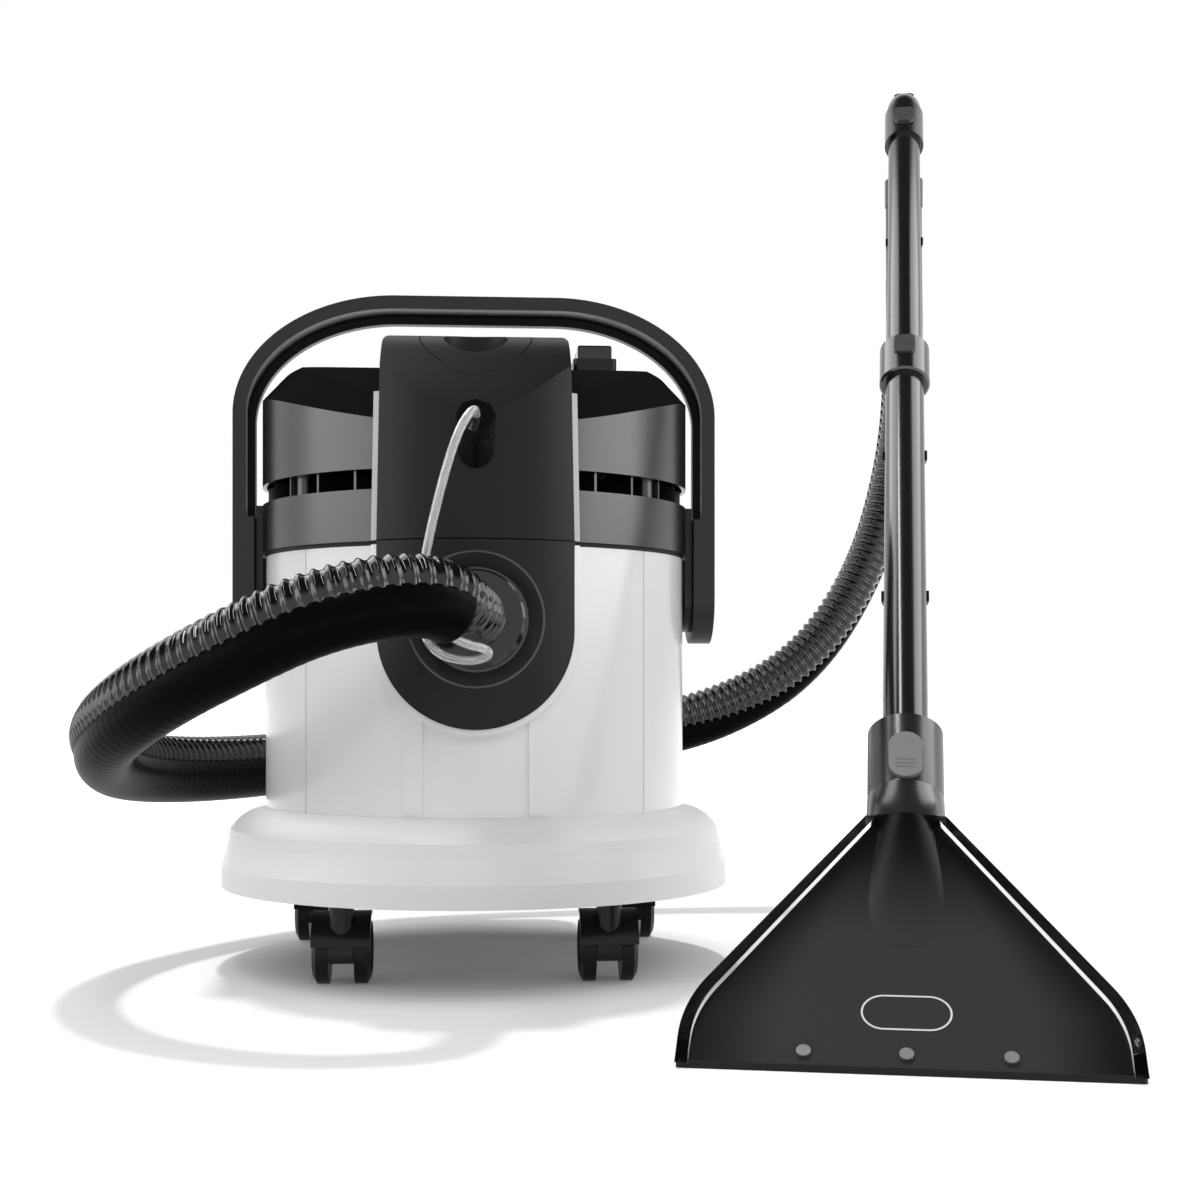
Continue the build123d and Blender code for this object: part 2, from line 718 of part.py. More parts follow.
# Upper panel with the place of its round cover and of the spray outlet, and its two edge trims
hump = upper_panel_form(0, 0)
with BuildPart() as panel_upper:
    add(hump)
    with BuildSketch(MACHINE.offset(COVER_LOW)):
        with Locations((0, COVER_Y)):
            Circle(COVER_R + SEAM)
    extrude(amount=CREST_Z, mode=Mode.SUBTRACT)
    with BuildSketch(FRONT):
        with Locations((0, SPRAY_Z)):
            Circle(PIPE_R + 3)
    extrude(amount=2 * PANEL_FRONT, mode=Mode.SUBTRACT)
save(panel_upper.part, "panel_upper")

with BuildPart() as panel_trims:
    add(upper_panel_form(TRIM_WIDTH, TRIM_SET_BACK))
    with BuildSketch(FRONT):
        with BuildLine():
            Polyline(
                (-PANEL_HALF - RUN_FIT, HEAD_BOTTOM),
                (PANEL_HALF + RUN_FIT, HEAD_BOTTOM),
                (PANEL_TOP_HALF + RUN_FIT, CREST_Z + ROOF_CLEAR),
                (-PANEL_TOP_HALF - RUN_FIT, CREST_Z + ROOF_CLEAR),
                close=True,
            )
        make_face()
    extrude(amount=2 * PANEL_FRONT, both=True, mode=Mode.SUBTRACT)
    with BuildSketch(MACHINE.offset(HEAD_BOTTOM)):
        with Locations((0, -PANEL_FRONT)):
            Rectangle(4 * PANEL_HALF, PANEL_FRONT)
    extrude(amount=TRIM_TOP - HEAD_BOTTOM, mode=Mode.INTERSECT)
save(panel_trims.part, "panel_trims")

# Round cover in the panel's nose, with a finger recess and the latch in it
EAR_IN = LATCH_WIDTH / 2 + SLIP_FIT
EAR_OUT = EAR_IN + 3
LATCH_PIVOT = (LATCH_PIVOT_Y, LATCH_PIVOT_Z)
with BuildPart() as latch_cover:
    with BuildSketch(MACHINE.offset(COVER_LOW)):
        with Locations((0, COVER_Y)):
            Circle(COVER_R)
    extrude(amount=CREST_Z - COVER_LOW)
    add(hump, mode=Mode.INTERSECT)
    with BuildSketch(MACHINE.offset(POCKET_Z)):
        with Locations((0, COVER_Y)):
            Circle(POCKET_R)
    extrude(amount=CREST_Z, mode=Mode.SUBTRACT)
    for side in LEFT_RIGHT:
        with BuildSketch(SIDE.offset(side * EAR_IN)):
            with Locations(LATCH_PIVOT):
                Circle(LATCH_PIN_R + 2.5)
            with Locations((LATCH_PIVOT_Y, (LATCH_PIVOT_Z + POCKET_Z) / 2)):
                Rectangle(2 * LATCH_PIN_R + 5, LATCH_PIVOT_Z - POCKET_Z)
        extrude(amount=side * (EAR_OUT - EAR_IN))
    with BuildSketch(SIDE):
        with Locations(LATCH_PIVOT):
            Circle(LATCH_PIN_R + RUN_FIT)
    extrude(amount=EAR_OUT, both=True, mode=Mode.SUBTRACT)
save(latch_cover.part, "latch_cover")

LATCH_SLOPE = 24.0
latch_tip = (
    LATCH_PIVOT_Y - LATCH_REACH * cos(radians(LATCH_SLOPE)),
    LATCH_PIVOT_Z - LATCH_REACH * sin(radians(LATCH_SLOPE)),
)
with BuildPart() as tank_latch:
    with BuildSketch(SIDE):
        with BuildLine() as latch_line:
            Line(LATCH_PIVOT, latch_tip)
        with Locations(latch_line.line @ 0.45):
            SlotCenterToCenter(LATCH_REACH - LATCH_THICK, LATCH_THICK, rotation=LATCH_SLOPE)
    extrude(amount=LATCH_WIDTH / 2, both=True)
    with BuildSketch(SIDE):
        with Locations(LATCH_PIVOT):
            Circle(LATCH_PIN_R)
    extrude(amount=EAR_OUT, both=True)
save(tank_latch.part, "tank_latch")

# Switches: a pale base on the roof with two push switches, suction in front and spray behind
switch_ys = {"suction_switch": -SWITCH_PITCH / 2, "spray_switch": SWITCH_PITCH / 2}
SWITCH_FLOOR = SWITCH_BASE_TOP - 4
with BuildPart() as switch_base:
    with BuildSketch(MACHINE.offset(ROOF_BEND_Z - 20)) as base_plan:
        with Locations((SWITCH_X, 0)):
            RectangleRounded(SWITCH_BASE_WIDTH, SWITCH_BASE_DEPTH, 4)
    extrude(amount=SWITCH_BASE_TOP - ROOF_BEND_Z + 20)
    add(head_form(0), mode=Mode.SUBTRACT)
    with BuildSketch(MACHINE.offset(SWITCH_FLOOR)):
        for place_y in switch_ys.values():
            with Locations((SWITCH_X, place_y)):
                Rectangle(SWITCH_WIDTH + 2 * SLIP_FIT, SWITCH_DEPTH + 2 * SLIP_FIT)
    extrude(amount=CREST_Z, mode=Mode.SUBTRACT)
save(switch_base.part, "switch_base")

for name, place_y in switch_ys.items():
    with BuildPart() as switch:
        with BuildSketch(MACHINE.offset(SWITCH_FLOOR + SWITCH_TRAVEL + SLIP_FIT)):
            with Locations((SWITCH_X, place_y)):
                Rectangle(SWITCH_WIDTH, SWITCH_DEPTH)
        extrude(amount=SWITCH_TOP - SWITCH_FLOOR - SWITCH_TRAVEL - SLIP_FIT)
        chamfer(switch.faces().sort_by(Axis.Z)[-1].edges(), length=1.2)
    save(switch.part, name)

# Carry handle: a channelled bail on two pivots, with brackets, pins and caps
ARM_IN = HANDLE_HALF - ARM_HEAD_THICK
BRACKET_IN = DRUM_R + SLIP_FIT
BRACKET_OUT = ARM_IN - SLIP_FIT
HANDLE_SIDE_R = HANDLE_DEPTH / 2


def bail_face(inset):
    """The bail's outline in front view, inset by this much, closed along the pivot's height."""
    half = HANDLE_HALF - inset
    bend_z = HANDLE_TOP - HANDLE_CORNER
    bend_x = HANDLE_HALF - HANDLE_CORNER
    top = HANDLE_TOP - inset
    with BuildSketch() as outline:
        with BuildLine():
            Polyline((-half, bend_z), (-half, PIVOT_Z), (half, PIVOT_Z), (half, bend_z))
            JernArc((half, bend_z), (0, 1), HANDLE_CORNER - inset, 90)
            Line((bend_x, top), (-bend_x, top))
            JernArc((-bend_x, top), (-1, 0), HANDLE_CORNER - inset, 90)
        make_face()
    return outline.sketch


with BuildPart() as carry_handle:
    with BuildSketch(FRONT):
        add(bail_face(0))
    extrude(amount=HANDLE_DEPTH / 2, both=True)
    with BuildSketch(FRONT):
        add(bail_face(HANDLE_THICK))
    extrude(amount=HANDLE_DEPTH, both=True, mode=Mode.SUBTRACT)
    with BuildSketch(FRONT):
        add(bail_face(HANDLE_WEB))
    extrude(amount=HANDLE_DEPTH / 2 - HANDLE_LIP, both=True, mode=Mode.SUBTRACT)
    for side in LEFT_RIGHT:
        with BuildSketch(SIDE.offset(side * ARM_IN)):
            with Locations((0, PIVOT_Z)):
                Circle(HANDLE_SIDE_R)
            with Locations((0, (PIVOT_Z + ARM_HEAD_TOP) / 2)):
                Rectangle(HANDLE_DEPTH, ARM_HEAD_TOP - PIVOT_Z)
        extrude(amount=side * ARM_HEAD_THICK)
    with BuildSketch(SIDE):
        with Locations((0, PIVOT_Z)):
            Circle(PIN_R + RUN_FIT)
    extrude(amount=2 * HANDLE_HALF, both=True, mode=Mode.SUBTRACT)
save(carry_handle.part, "carry_handle")

with BuildPart() as handle_brackets:
    for side in LEFT_RIGHT:
        with BuildSketch(SIDE.offset(side * BRACKET_IN)):
            with Locations((0, PIVOT_Z)):
                Circle(BRACKET_WIDTH / 2)
            with Locations((0, (PIVOT_Z + SLOT_Z) / 2)):
                Rectangle(BRACKET_WIDTH, SLOT_Z - PIVOT_Z)
        extrude(amount=side * (BRACKET_OUT - BRACKET_IN))
        with BuildSketch(SIDE.offset(side * BRACKET_IN)):
            with Locations((0, PIVOT_Z)):
                Circle(PIN_R)
        extrude(amount=side * (HANDLE_HALF - SLIP_FIT - BRACKET_IN))
    with BuildSketch(MACHINE.offset(DRUM_TOP)):
        Circle(HEAD_R)
    extrude(amount=SLOT_Z, mode=Mode.SUBTRACT)
save(handle_brackets.part, "handle_brackets")

with BuildPart() as handle_caps:
    for side in LEFT_RIGHT:
        with BuildSketch(SIDE.offset(side * HANDLE_HALF)):
            with Locations((0, PIVOT_Z)):
                Circle(CAP_R)
        extrude(amount=side * CAP_THICK, taper=35)
save(handle_caps.part, "handle_caps")

# Spray outlet: a tilted barrel on the panel, and the plug of the spray tube in it
spray_out = Vector(0, -cos(radians(SPRAY_TILT)), sin(radians(SPRAY_TILT)))
spray_root = at(0, -PANEL_FRONT, SPRAY_Z)
SPRAY = Plane(spray_root, x_dir=(1, 0, 0), z_dir=spray_out)
SPRAY_TAIL = 18.0
with BuildPart() as spray_socket:
    with BuildSketch(SPRAY.offset(-2 * SPRAY_R)):
        Circle(SPRAY_R)
    extrude(amount=SPRAY_LENGTH + 2 * SPRAY_R)
    with BuildSketch(FRONT):
        with Locations((0, SPRAY_Z)):
            Rectangle(8 * SPRAY_R, 8 * SPRAY_R)
    extrude(amount=PANEL_FRONT, mode=Mode.SUBTRACT)
    with BuildSketch(FRONT.offset(PANEL_FRONT)):
        with Locations((0, SPRAY_Z)):
            Circle(PIPE_R + 3 - SLIP_FIT)
    extrude(amount=-SPRAY_TAIL)
    with BuildSketch(SPRAY.offset(SPRAY_LENGTH)):
        Circle(PLUG_R)
    extrude(amount=-PLUG_LENGTH, mode=Mode.SUBTRACT)
save(spray_socket.part, "spray_socket")

PLUG_HEAD = 12.0
with BuildPart() as spray_plug:
    with BuildSketch(SPRAY.offset(SPRAY_LENGTH - PLUG_LENGTH)):
        Circle(PLUG_R - RUN_FIT)
    extrude(amount=PLUG_LENGTH)
    with BuildSketch(SPRAY.offset(SPRAY_LENGTH)):
        RegularPolygon(SPRAY_R + 0.8, 8)
    extrude(amount=PLUG_HEAD)
save(spray_plug.part, "spray_plug")

# Inside the head: fan chamber, motor, impeller, pump and its lines
CHAMBER_R = FAN_R + 8
CHAMBER_TOP = SLOT_Z + FAN_HEIGHT
with BuildPart() as fan_chamber:
    with BuildSketch(MACHINE.offset(SLOT_Z)):
        Circle(CHAMBER_R)
    extrude(amount=FAN_HEIGHT)
    with BuildSketch(MACHINE.offset(SLOT_Z)):
        Circle(CHAMBER_R - FAN_WALL)
    extrude(amount=FAN_HEIGHT - FAN_WALL, mode=Mode.SUBTRACT)
    with BuildSketch(MACHINE.offset(SLOT_Z)):
        Circle(3 * SHAFT_R)
    extrude(amount=2 * FAN_HEIGHT, mode=Mode.SUBTRACT)
    with BuildSketch(MACHINE.offset(SLOT_Z + FAN_WALL)):
        with PolarLocations(CHAMBER_R, 6):
            Rectangle(4 * FAN_WALL, 24)
    extrude(amount=FAN_HEIGHT - 3 * FAN_WALL, mode=Mode.SUBTRACT)
save(fan_chamber.part, "fan_chamber")

SHAFT_TOP = CHAMBER_TOP + 14
FAN_LOW = SLOT_Z + 6
with BuildPart() as motor:
    with BuildSketch(MACHINE.offset(CHAMBER_TOP)):
        Circle(MOTOR_R)
    extrude(amount=MOTOR_HEIGHT * 0.62)
    with BuildSketch(MACHINE.offset(CHAMBER_TOP + MOTOR_HEIGHT * 0.62)):
        Circle(MOTOR_R * 0.72)
    extrude(amount=MOTOR_HEIGHT * 0.38, taper=10)
    with BuildSketch(MACHINE.offset(CHAMBER_TOP)):
        Circle(SHAFT_R + RUN_FIT)
    extrude(amount=SHAFT_TOP + 1 - CHAMBER_TOP, mode=Mode.SUBTRACT)
save(motor.part, "motor")

with BuildPart() as impeller:
    with BuildSketch(MACHINE.offset(FAN_LOW)):
        Circle(FAN_R)
    extrude(amount=2)
    with BuildSketch(MACHINE.offset(FAN_LOW)):
        Circle(2.5 * SHAFT_R)
    extrude(amount=FAN_HEIGHT - FAN_WALL - 8)
    with BuildSketch(MACHINE.offset(FAN_LOW)):
        with PolarLocations((FAN_R + 2 * SHAFT_R) / 2, BLADE_COUNT):
            Rectangle(FAN_R - 2 * SHAFT_R - 1, FIN_THICK, rotation=18)
    extrude(amount=FAN_HEIGHT - FAN_WALL - 10)
    with BuildSketch(MACHINE.offset(FAN_LOW)):
        Circle(SHAFT_R)
    extrude(amount=SHAFT_TOP - FAN_LOW)
save(impeller.part, "impeller")

with BuildPart() as pump:
    with BuildSketch(MACHINE.offset(SLOT_Z)):
        with Locations((0, PUMP_Y)):
            RectangleRounded(PUMP_WIDTH, PUMP_DEPTH, 6)
    extrude(amount=PUMP_HEIGHT)
    with BuildSketch(MACHINE.offset(SLOT_Z + PUMP_HEIGHT)):
        with Locations((-PUMP_WIDTH / 5, PUMP_Y)):
            Circle(PUMP_DEPTH * 0.3)
    extrude(amount=10)
save(pump.part, "pump")

PIPE_LOW = SEAT_Z + FLOOR_WALL + TANK_WALL + 6
PUMP_OUT_Z = SLOT_Z + PUMP_HEIGHT * 0.6
SOCKET_BACK = PANEL_FRONT - SPRAY_TAIL
with BuildPart() as pump_lines:
    with BuildSketch(MACHINE.offset(PIPE_LOW)):
        with Locations((0, PUMP_Y)):
            Circle(PIPE_R)
            Circle(PIPE_R - 1.2, mode=Mode.SUBTRACT)
    extrude(amount=SLOT_Z - PIPE_LOW)
    with BuildLine() as hose_run:
        FilletPolyline(
            at(PUMP_WIDTH / 2, PUMP_Y, PUMP_OUT_Z),
            at(MOTOR_R * 1.8, PUMP_Y, PUMP_OUT_Z),
            at(MOTOR_R * 2.0, -FAN_R * 0.6, PUMP_OUT_Z + 10),
            at(0, -SOCKET_BACK + 45, SPRAY_Z),
            at(0, -SOCKET_BACK, SPRAY_Z),
            radius=18,
        )
    with BuildSketch(Plane(hose_run.line @ 0, z_dir=hose_run.line % 0)):
        Circle(PIPE_R)
    sweep()
save(pump_lines.part, "pump_lines")

# In the drum: fresh water tank, float cage with its ball, and the filter round it
with BuildPart() as fresh_tank:
    for inset, low, mode in ((0, 0, Mode.ADD), (TANK_WALL, TANK_WALL, Mode.SUBTRACT)):
        with BuildSketch(MACHINE.offset(SEAT_Z + FLOOR_WALL + low)):
            Circle(TANK_R - inset)
            with Locations((0, TANK_FRONT + inset - TANK_R)):
                Rectangle(2 * TANK_R, 2 * TANK_R, mode=Mode.SUBTRACT)
        extrude(amount=TANK_TOP - SEAT_Z - FLOOR_WALL, mode=mode)
save(fresh_tank.part, "fresh_tank")

CAGE_FLOOR = 3.0
CAGE_HOLE = 12.0
BALL_Z = CAGE_LOW + CAGE_FLOOR + sqrt(BALL_R**2 - CAGE_HOLE**2) + SLIP_FIT
with BuildPart() as float_cage:
    with BuildSketch(MACHINE.offset(CAGE_LOW)):
        Circle(CAGE_R + CAGE_WALL)
        Circle(CAGE_HOLE, mode=Mode.SUBTRACT)
    extrude(amount=PLATE_LOW - CAGE_LOW)
    with BuildSketch(MACHINE.offset(CAGE_LOW + CAGE_FLOOR)):
        Circle(CAGE_R)
    extrude(amount=PLATE_LOW, mode=Mode.SUBTRACT)
    with BuildSketch(MACHINE.offset(CAGE_LOW + 2 * CAGE_FLOOR)):
        with PolarLocations(CAGE_R, 6):
            Rectangle(6 * CAGE_WALL, 16)
    extrude(amount=PLATE_LOW - CAGE_LOW - 4 * CAGE_FLOOR, mode=Mode.SUBTRACT)
save(float_cage.part, "float_cage")

with BuildPart() as float_ball:
    with Locations(at(0, 0, BALL_Z)):
        Sphere(BALL_R)
save(float_ball.part, "float_ball")

with BuildPart() as motor_filter:
    with BuildSketch(MACHINE.offset(CAGE_LOW + CAGE_FLOOR)):
        Circle(FILTER_R)
        Circle(CAGE_R + CAGE_WALL + SLIP_FIT, mode=Mode.SUBTRACT)
    extrude(amount=PLATE_LOW - CAGE_LOW - CAGE_FLOOR)
save(motor_filter.part, "motor_filter")

# Wand frame: t runs along the floor away from the mouth, z up, and s up the suction tubes
turn_angle = radians(WAND_TURN)
WAND = Plane(
    at(MOUTH_X, MOUTH_Y, 0),
    x_dir=(sin(turn_angle), cos(turn_angle), 0),
    z_dir=(cos(turn_angle), -sin(turn_angle), 0),
)
TUBE_COS = cos(radians(TUBE_PITCH))
TUBE_SIN = sin(radians(TUBE_PITCH))
HOOD_COS = cos(radians(HOOD_PITCH))
HOOD_SIN = sin(radians(HOOD_PITCH))


def on_wand(t, z):
    """A point in the wand's upright middle plane."""
    return WAND.from_local_coords(Vector(t, z, 0))


def along_tube(s, behind):
    """The wand's t and z at this distance up the tubes, and this far behind their axis."""
    return (
        TUBE_START_T + s * TUBE_COS + behind * TUBE_SIN,
        TUBE_START_Z + s * TUBE_SIN - behind * TUBE_COS,
    )


def along_hood(v, out):
    """The wand's t and z at this distance up the hood, and this far in front of it."""
    return (v * HOOD_COS - out * HOOD_SIN, v * HOOD_SIN + out * HOOD_COS)


tube_up = WAND.x_dir * TUBE_COS + Vector(0, 0, TUBE_SIN)
hood_up = WAND.x_dir * HOOD_COS + Vector(0, 0, HOOD_SIN)
hood_out = WAND.z_dir.cross(hood_up)
HOOD = Plane(on_wand(0, 0), x_dir=WAND.z_dir, z_dir=hood_out)


def tube_plane(s):
    """A plane square to the suction tubes, this far up them."""
    return Plane(on_wand(*along_tube(s, 0)), x_dir=WAND.z_dir, z_dir=tube_up)


def tube_front(s, out):
    """A plane that faces forward, square to the tubes, this far out from their axis."""
    square = tube_plane(s)
    return Plane(square.origin - square.y_dir * out, x_dir=WAND.z_dir, z_dir=-square.y_dir)


def fan_outline(inset):
    """The nozzle's fan seen square to the hood, inset by this much at its edges."""
    low = -3 * PLATE_BACK
    half = NOZZLE_HALF - inset
    top = FAN_TOP_HALF - inset
    with BuildSketch(mode=Mode.PRIVATE) as outline:
        with BuildLine():
            Polyline(
                (half, low),
                (half, NOZZLE_SIDE - inset / 2),
                (top, FAN_TOP),
                (-top, FAN_TOP),
                (-half, NOZZLE_SIDE - inset / 2),
                (-half, low),
                close=True,
            )
        make_face()
        knees = outline.vertices().filter_by_position(Axis.Y, 0, NOZZLE_SIDE + 1)
        fillet(knees, radius=NOZZLE_CORNER - inset)
    return outline.sketch


def fan_slab(inset, back, front, low):
    """A slab of the fan between two distances from the hood's plane, cut level at its foot."""
    with BuildPart() as slab:
        with BuildSketch(HOOD.offset(back)):
            add(fan_outline(inset))
        extrude(amount=front - back)
        split(bisect_by=Plane.XY.offset(low))
    return slab.part


# Nozzle: back plate with its lip, clear rim, dark cover with its funnel, neck and latch
MOUTH_BACK = LIP_HEIGHT / tan(radians(HOOD_PITCH)) + PLATE_BACK / HOOD_SIN
LIP_WALL = 6.0
BACK_FACE = -PLATE_BACK + PLATE_THICK
with BuildPart() as nozzle_back:
    add(fan_slab(0, -PLATE_BACK, BACK_FACE, LIP_HEIGHT))
save(nozzle_back.part, "nozzle_back")

with BuildPart() as nozzle_lip:
    with BuildSketch(Plane(on_wand(0, 0), x_dir=WAND.z_dir, z_dir=(0, 0, 1))):
        with Locations((0, MOUTH_BACK / 2)):
            RectangleRounded(2 * NOZZLE_HALF, MOUTH_BACK + LIP_WALL, 2.5)
            Rectangle(2 * NOZZLE_HALF - 2 * LIP_WALL, MOUTH_BACK - LIP_WALL, mode=Mode.SUBTRACT)
    extrude(amount=LIP_HEIGHT)
save(nozzle_lip.part, "nozzle_lip")

RIM_FRONT = COVER_FRONT + 1
with BuildPart() as nozzle_rim:
    add(fan_slab(0, BACK_FACE, RIM_FRONT, LIP_HEIGHT))
    add(fan_slab(RIM_WIDTH, BACK_FACE, RIM_FRONT, LIP_HEIGHT), mode=Mode.SUBTRACT)
save(nozzle_rim.part, "nozzle_rim")

BULGE_LOW = 92.0
BULGE_HALF = 36.0
BULGE_RISE = 7.0
BULGE_TOP_HALF = FAN_TOP_HALF - RIM_WIDTH - 1
BULGE_SINK = 5.0
COVER_FACE = COVER_FRONT - 3
bulge_ends = ((BULGE_LOW, BULGE_HALF, 0.2), (FAN_TOP, BULGE_TOP_HALF, BULGE_RISE))
with BuildPart() as funnel:
    for v, half, rise in bulge_ends:
        centre = on_wand(*along_hood(v, COVER_FACE - BULGE_SINK))
        with BuildSketch(Plane(centre, x_dir=WAND.z_dir, z_dir=hood_up)):
            Ellipse(half, rise + BULGE_SINK)
    loft(ruled=True)
    split(bisect_by=HOOD.offset(COVER_FACE))
with BuildPart() as nozzle_cover:
    add(fan_slab(RIM_WIDTH, -COVER_BACK, COVER_FACE, LIP_HEIGHT))
    add(funnel.part)
save(nozzle_cover.part, "nozzle_cover")

NOZZLE_SCREW_U = 56.0
NOZZLE_SCREW_V = 10.0
with BuildPart() as screws:
    with BuildSketch(MACHINE.offset(PLATE_LOW)):
        with Locations(*head_screw_places):
            Circle(SCREW_HEAD_R)
    extrude(amount=-3.2)
    with BuildSketch(MACHINE.offset(PLATE_LOW)):
        with Locations(*head_screw_places):
            Circle(SCREW_R)
    extrude(amount=SCREW_END - PLATE_LOW)
    with BuildSketch(HOOD.offset(COVER_FACE)):
        with GridLocations(NOZZLE_SCREW_U, 1, 3, 1):
            with Locations((0, NOZZLE_SCREW_V)):
                Circle(SCREW_HEAD_R - 0.5)
    extrude(amount=1.8)
save(screws.part, "screws")

NECK_CUT = -68.0
NECK_LATCH = -49.0
PILL_WIDTH = 22.0
PILL_LENGTH = 36.0
PILL_TRAVEL = 2.0
PILL_FLOOR = LOWER_R + 1.6
NECK_MID = (COVER_FACE - PLATE_BACK) / 2 + 2
neck_foot = Plane(on_wand(*along_hood(FAN_TOP, NECK_MID)), x_dir=WAND.z_dir, z_dir=hood_up)
TUBE_FOOT = -48.0
with BuildPart() as nozzle_neck:
    with BuildSketch(neck_foot):
        RectangleRounded(2 * FAN_TOP_HALF, COVER_FACE + PLATE_BACK + 6, 9)
    with BuildSketch(tube_plane(NECK_CUT)):
        Circle(NECK_R)
    loft()
    with BuildSketch(tube_plane(NECK_CUT)):
        Circle(NECK_R)
    extrude(amount=NECK_END - NECK_CUT)
    with BuildSketch(neck_foot):
        Rectangle(2 * FAN_TOP_HALF - 2 * RIM_WIDTH, COVER_FACE + PLATE_BACK - 10)
    with BuildSketch(tube_plane(TUBE_FOOT)):
        Circle(LOWER_R - TUBE_WALL)
    loft(mode=Mode.SUBTRACT)
    with BuildSketch(tube_plane(TUBE_FOOT)):
        Circle(LOWER_R)
    extrude(amount=NECK_END - TUBE_FOOT, mode=Mode.SUBTRACT)
    with BuildSketch(tube_front(NECK_LATCH, PILL_FLOOR)):
        SlotOverall(
            PILL_LENGTH + 2 * SLIP_FIT, PILL_WIDTH + 2 * SLIP_FIT, rotation=90
        )
    extrude(amount=NECK_R, mode=Mode.SUBTRACT)
save(nozzle_neck.part, "nozzle_neck")

with BuildPart() as nozzle_latch:
    with BuildSketch(tube_front(NECK_LATCH, PILL_FLOOR + PILL_TRAVEL + SLIP_FIT)):
        SlotOverall(PILL_LENGTH, PILL_WIDTH, rotation=90)
    extrude(amount=NECK_R + 2 - PILL_FLOOR - PILL_TRAVEL)
save(nozzle_latch.part, "nozzle_latch")

# Spray jet behind the hood, and the water pipe that feeds it
JET_LOW = 50.0
JET_HIGH = 76.0
JET_DEPTH = 13.0
PIPE_OUT = -PLATE_BACK - JET_DEPTH / 2
VALVE_LOW = TOP_HIGH - 16
with BuildPart() as spray_jet:
    with BuildSketch(HOOD.offset(-PLATE_BACK)):
        with Locations((0, (JET_LOW + JET_HIGH) / 2)):
            RectangleRounded(24, JET_HIGH - JET_LOW, 4)
    extrude(amount=-JET_DEPTH)
    with BuildSketch(Plane(on_wand(*along_hood(JET_LOW, PIPE_OUT)), x_dir=WAND.z_dir, z_dir=-hood_up)):
        Circle(5)
    extrude(amount=7, taper=15)
save(spray_jet.part, "spray_jet")

with BuildPart() as water_pipe:
    with BuildLine() as pipe_run:
        FilletPolyline(
            on_wand(*along_tube(VALVE_LOW, WATER_OFFSET)),
            on_wand(*along_tube(NECK_CUT, WATER_OFFSET)),
            on_wand(*along_hood(140, PIPE_OUT)),
            on_wand(*along_hood(JET_HIGH, PIPE_OUT)),
            radius=40,
        )
    with BuildSketch(Plane(pipe_run.line @ 0, z_dir=pipe_run.line % 0)):
        Circle(WATER_R)
    sweep()
save(water_pipe.part, "water_pipe")

# Suction tubes with their socket, latches and pipe clips
LOWER_END = MID_LOW + 24
with BuildPart() as lower_tube:
    with BuildSketch(tube_plane(TUBE_FOOT)):
        Circle(LOWER_R)
        Circle(LOWER_R - TUBE_WALL, mode=Mode.SUBTRACT)
    extrude(amount=LOWER_END - TUBE_FOOT)
save(lower_tube.part, "lower_tube")

UPPER_START = LOWER_END + 4
UPPER_END = TOP_HIGH - 14
with BuildPart() as upper_tube:
    with BuildSketch(tube_plane(UPPER_START)):
        Circle(UPPER_R)
        Circle(UPPER_R - TUBE_WALL, mode=Mode.SUBTRACT)
    extrude(amount=UPPER_END - UPPER_START)
save(upper_tube.part, "upper_tube")

BUTTON_WIDTH = 16.0
BUTTON_LENGTH = 20.0
BUTTON_TRAVEL = 1.8
BUTTON_SKIN = 0.9
MID_BUTTON = MID_HIGH - 15
TOP_BUTTON = TOP_LOW + 20


def button_pocket(s, tube_r):
    """The pocket of a push button in the front of a tube socket, with slip all round."""
    with BuildPart() as pocket:
        with BuildSketch(tube_front(s, tube_r + BUTTON_SKIN)):
            RectangleRounded(BUTTON_WIDTH + 2 * SLIP_FIT, BUTTON_LENGTH + 2 * SLIP_FIT, 4)
        extrude(amount=2 * MID_R)
    return pocket.part


def push_button(s, tube_r, top):
    """A push button that rests above its pocket's floor by its travel and slip."""
    low = tube_r + BUTTON_SKIN + BUTTON_TRAVEL + SLIP_FIT
    with BuildPart() as button:
        with BuildSketch(tube_front(s, low)):
            RectangleRounded(BUTTON_WIDTH, BUTTON_LENGTH, 4)
        extrude(amount=top - low)
    return button.part


with BuildPart() as mid_socket:
    with BuildSketch(tube_plane(MID_LOW)):
        Circle(MID_R)
    extrude(amount=MID_HIGH - MID_LOW)
    chamfer(mid_socket.edges().filter_by(GeomType.CIRCLE), length=1.5)
    with BuildSketch(tube_plane(MID_LOW)):
        Circle(LOWER_R)
    extrude(amount=LOWER_END - MID_LOW, mode=Mode.SUBTRACT)
    with BuildSketch(tube_plane(LOWER_END)):
        Circle(UPPER_R - TUBE_WALL)
    extrude(amount=UPPER_START - LOWER_END, mode=Mode.SUBTRACT)
    with BuildSketch(tube_plane(UPPER_START)):
        Circle(UPPER_R)
    extrude(amount=MID_HIGH - UPPER_START, mode=Mode.SUBTRACT)
    add(button_pocket(MID_BUTTON, LOWER_R), mode=Mode.SUBTRACT)
save(mid_socket.part, "mid_socket")

with BuildPart() as mid_latch:
    add(push_button(MID_BUTTON, LOWER_R, MID_R + 2.2))
save(mid_latch.part, "mid_latch")

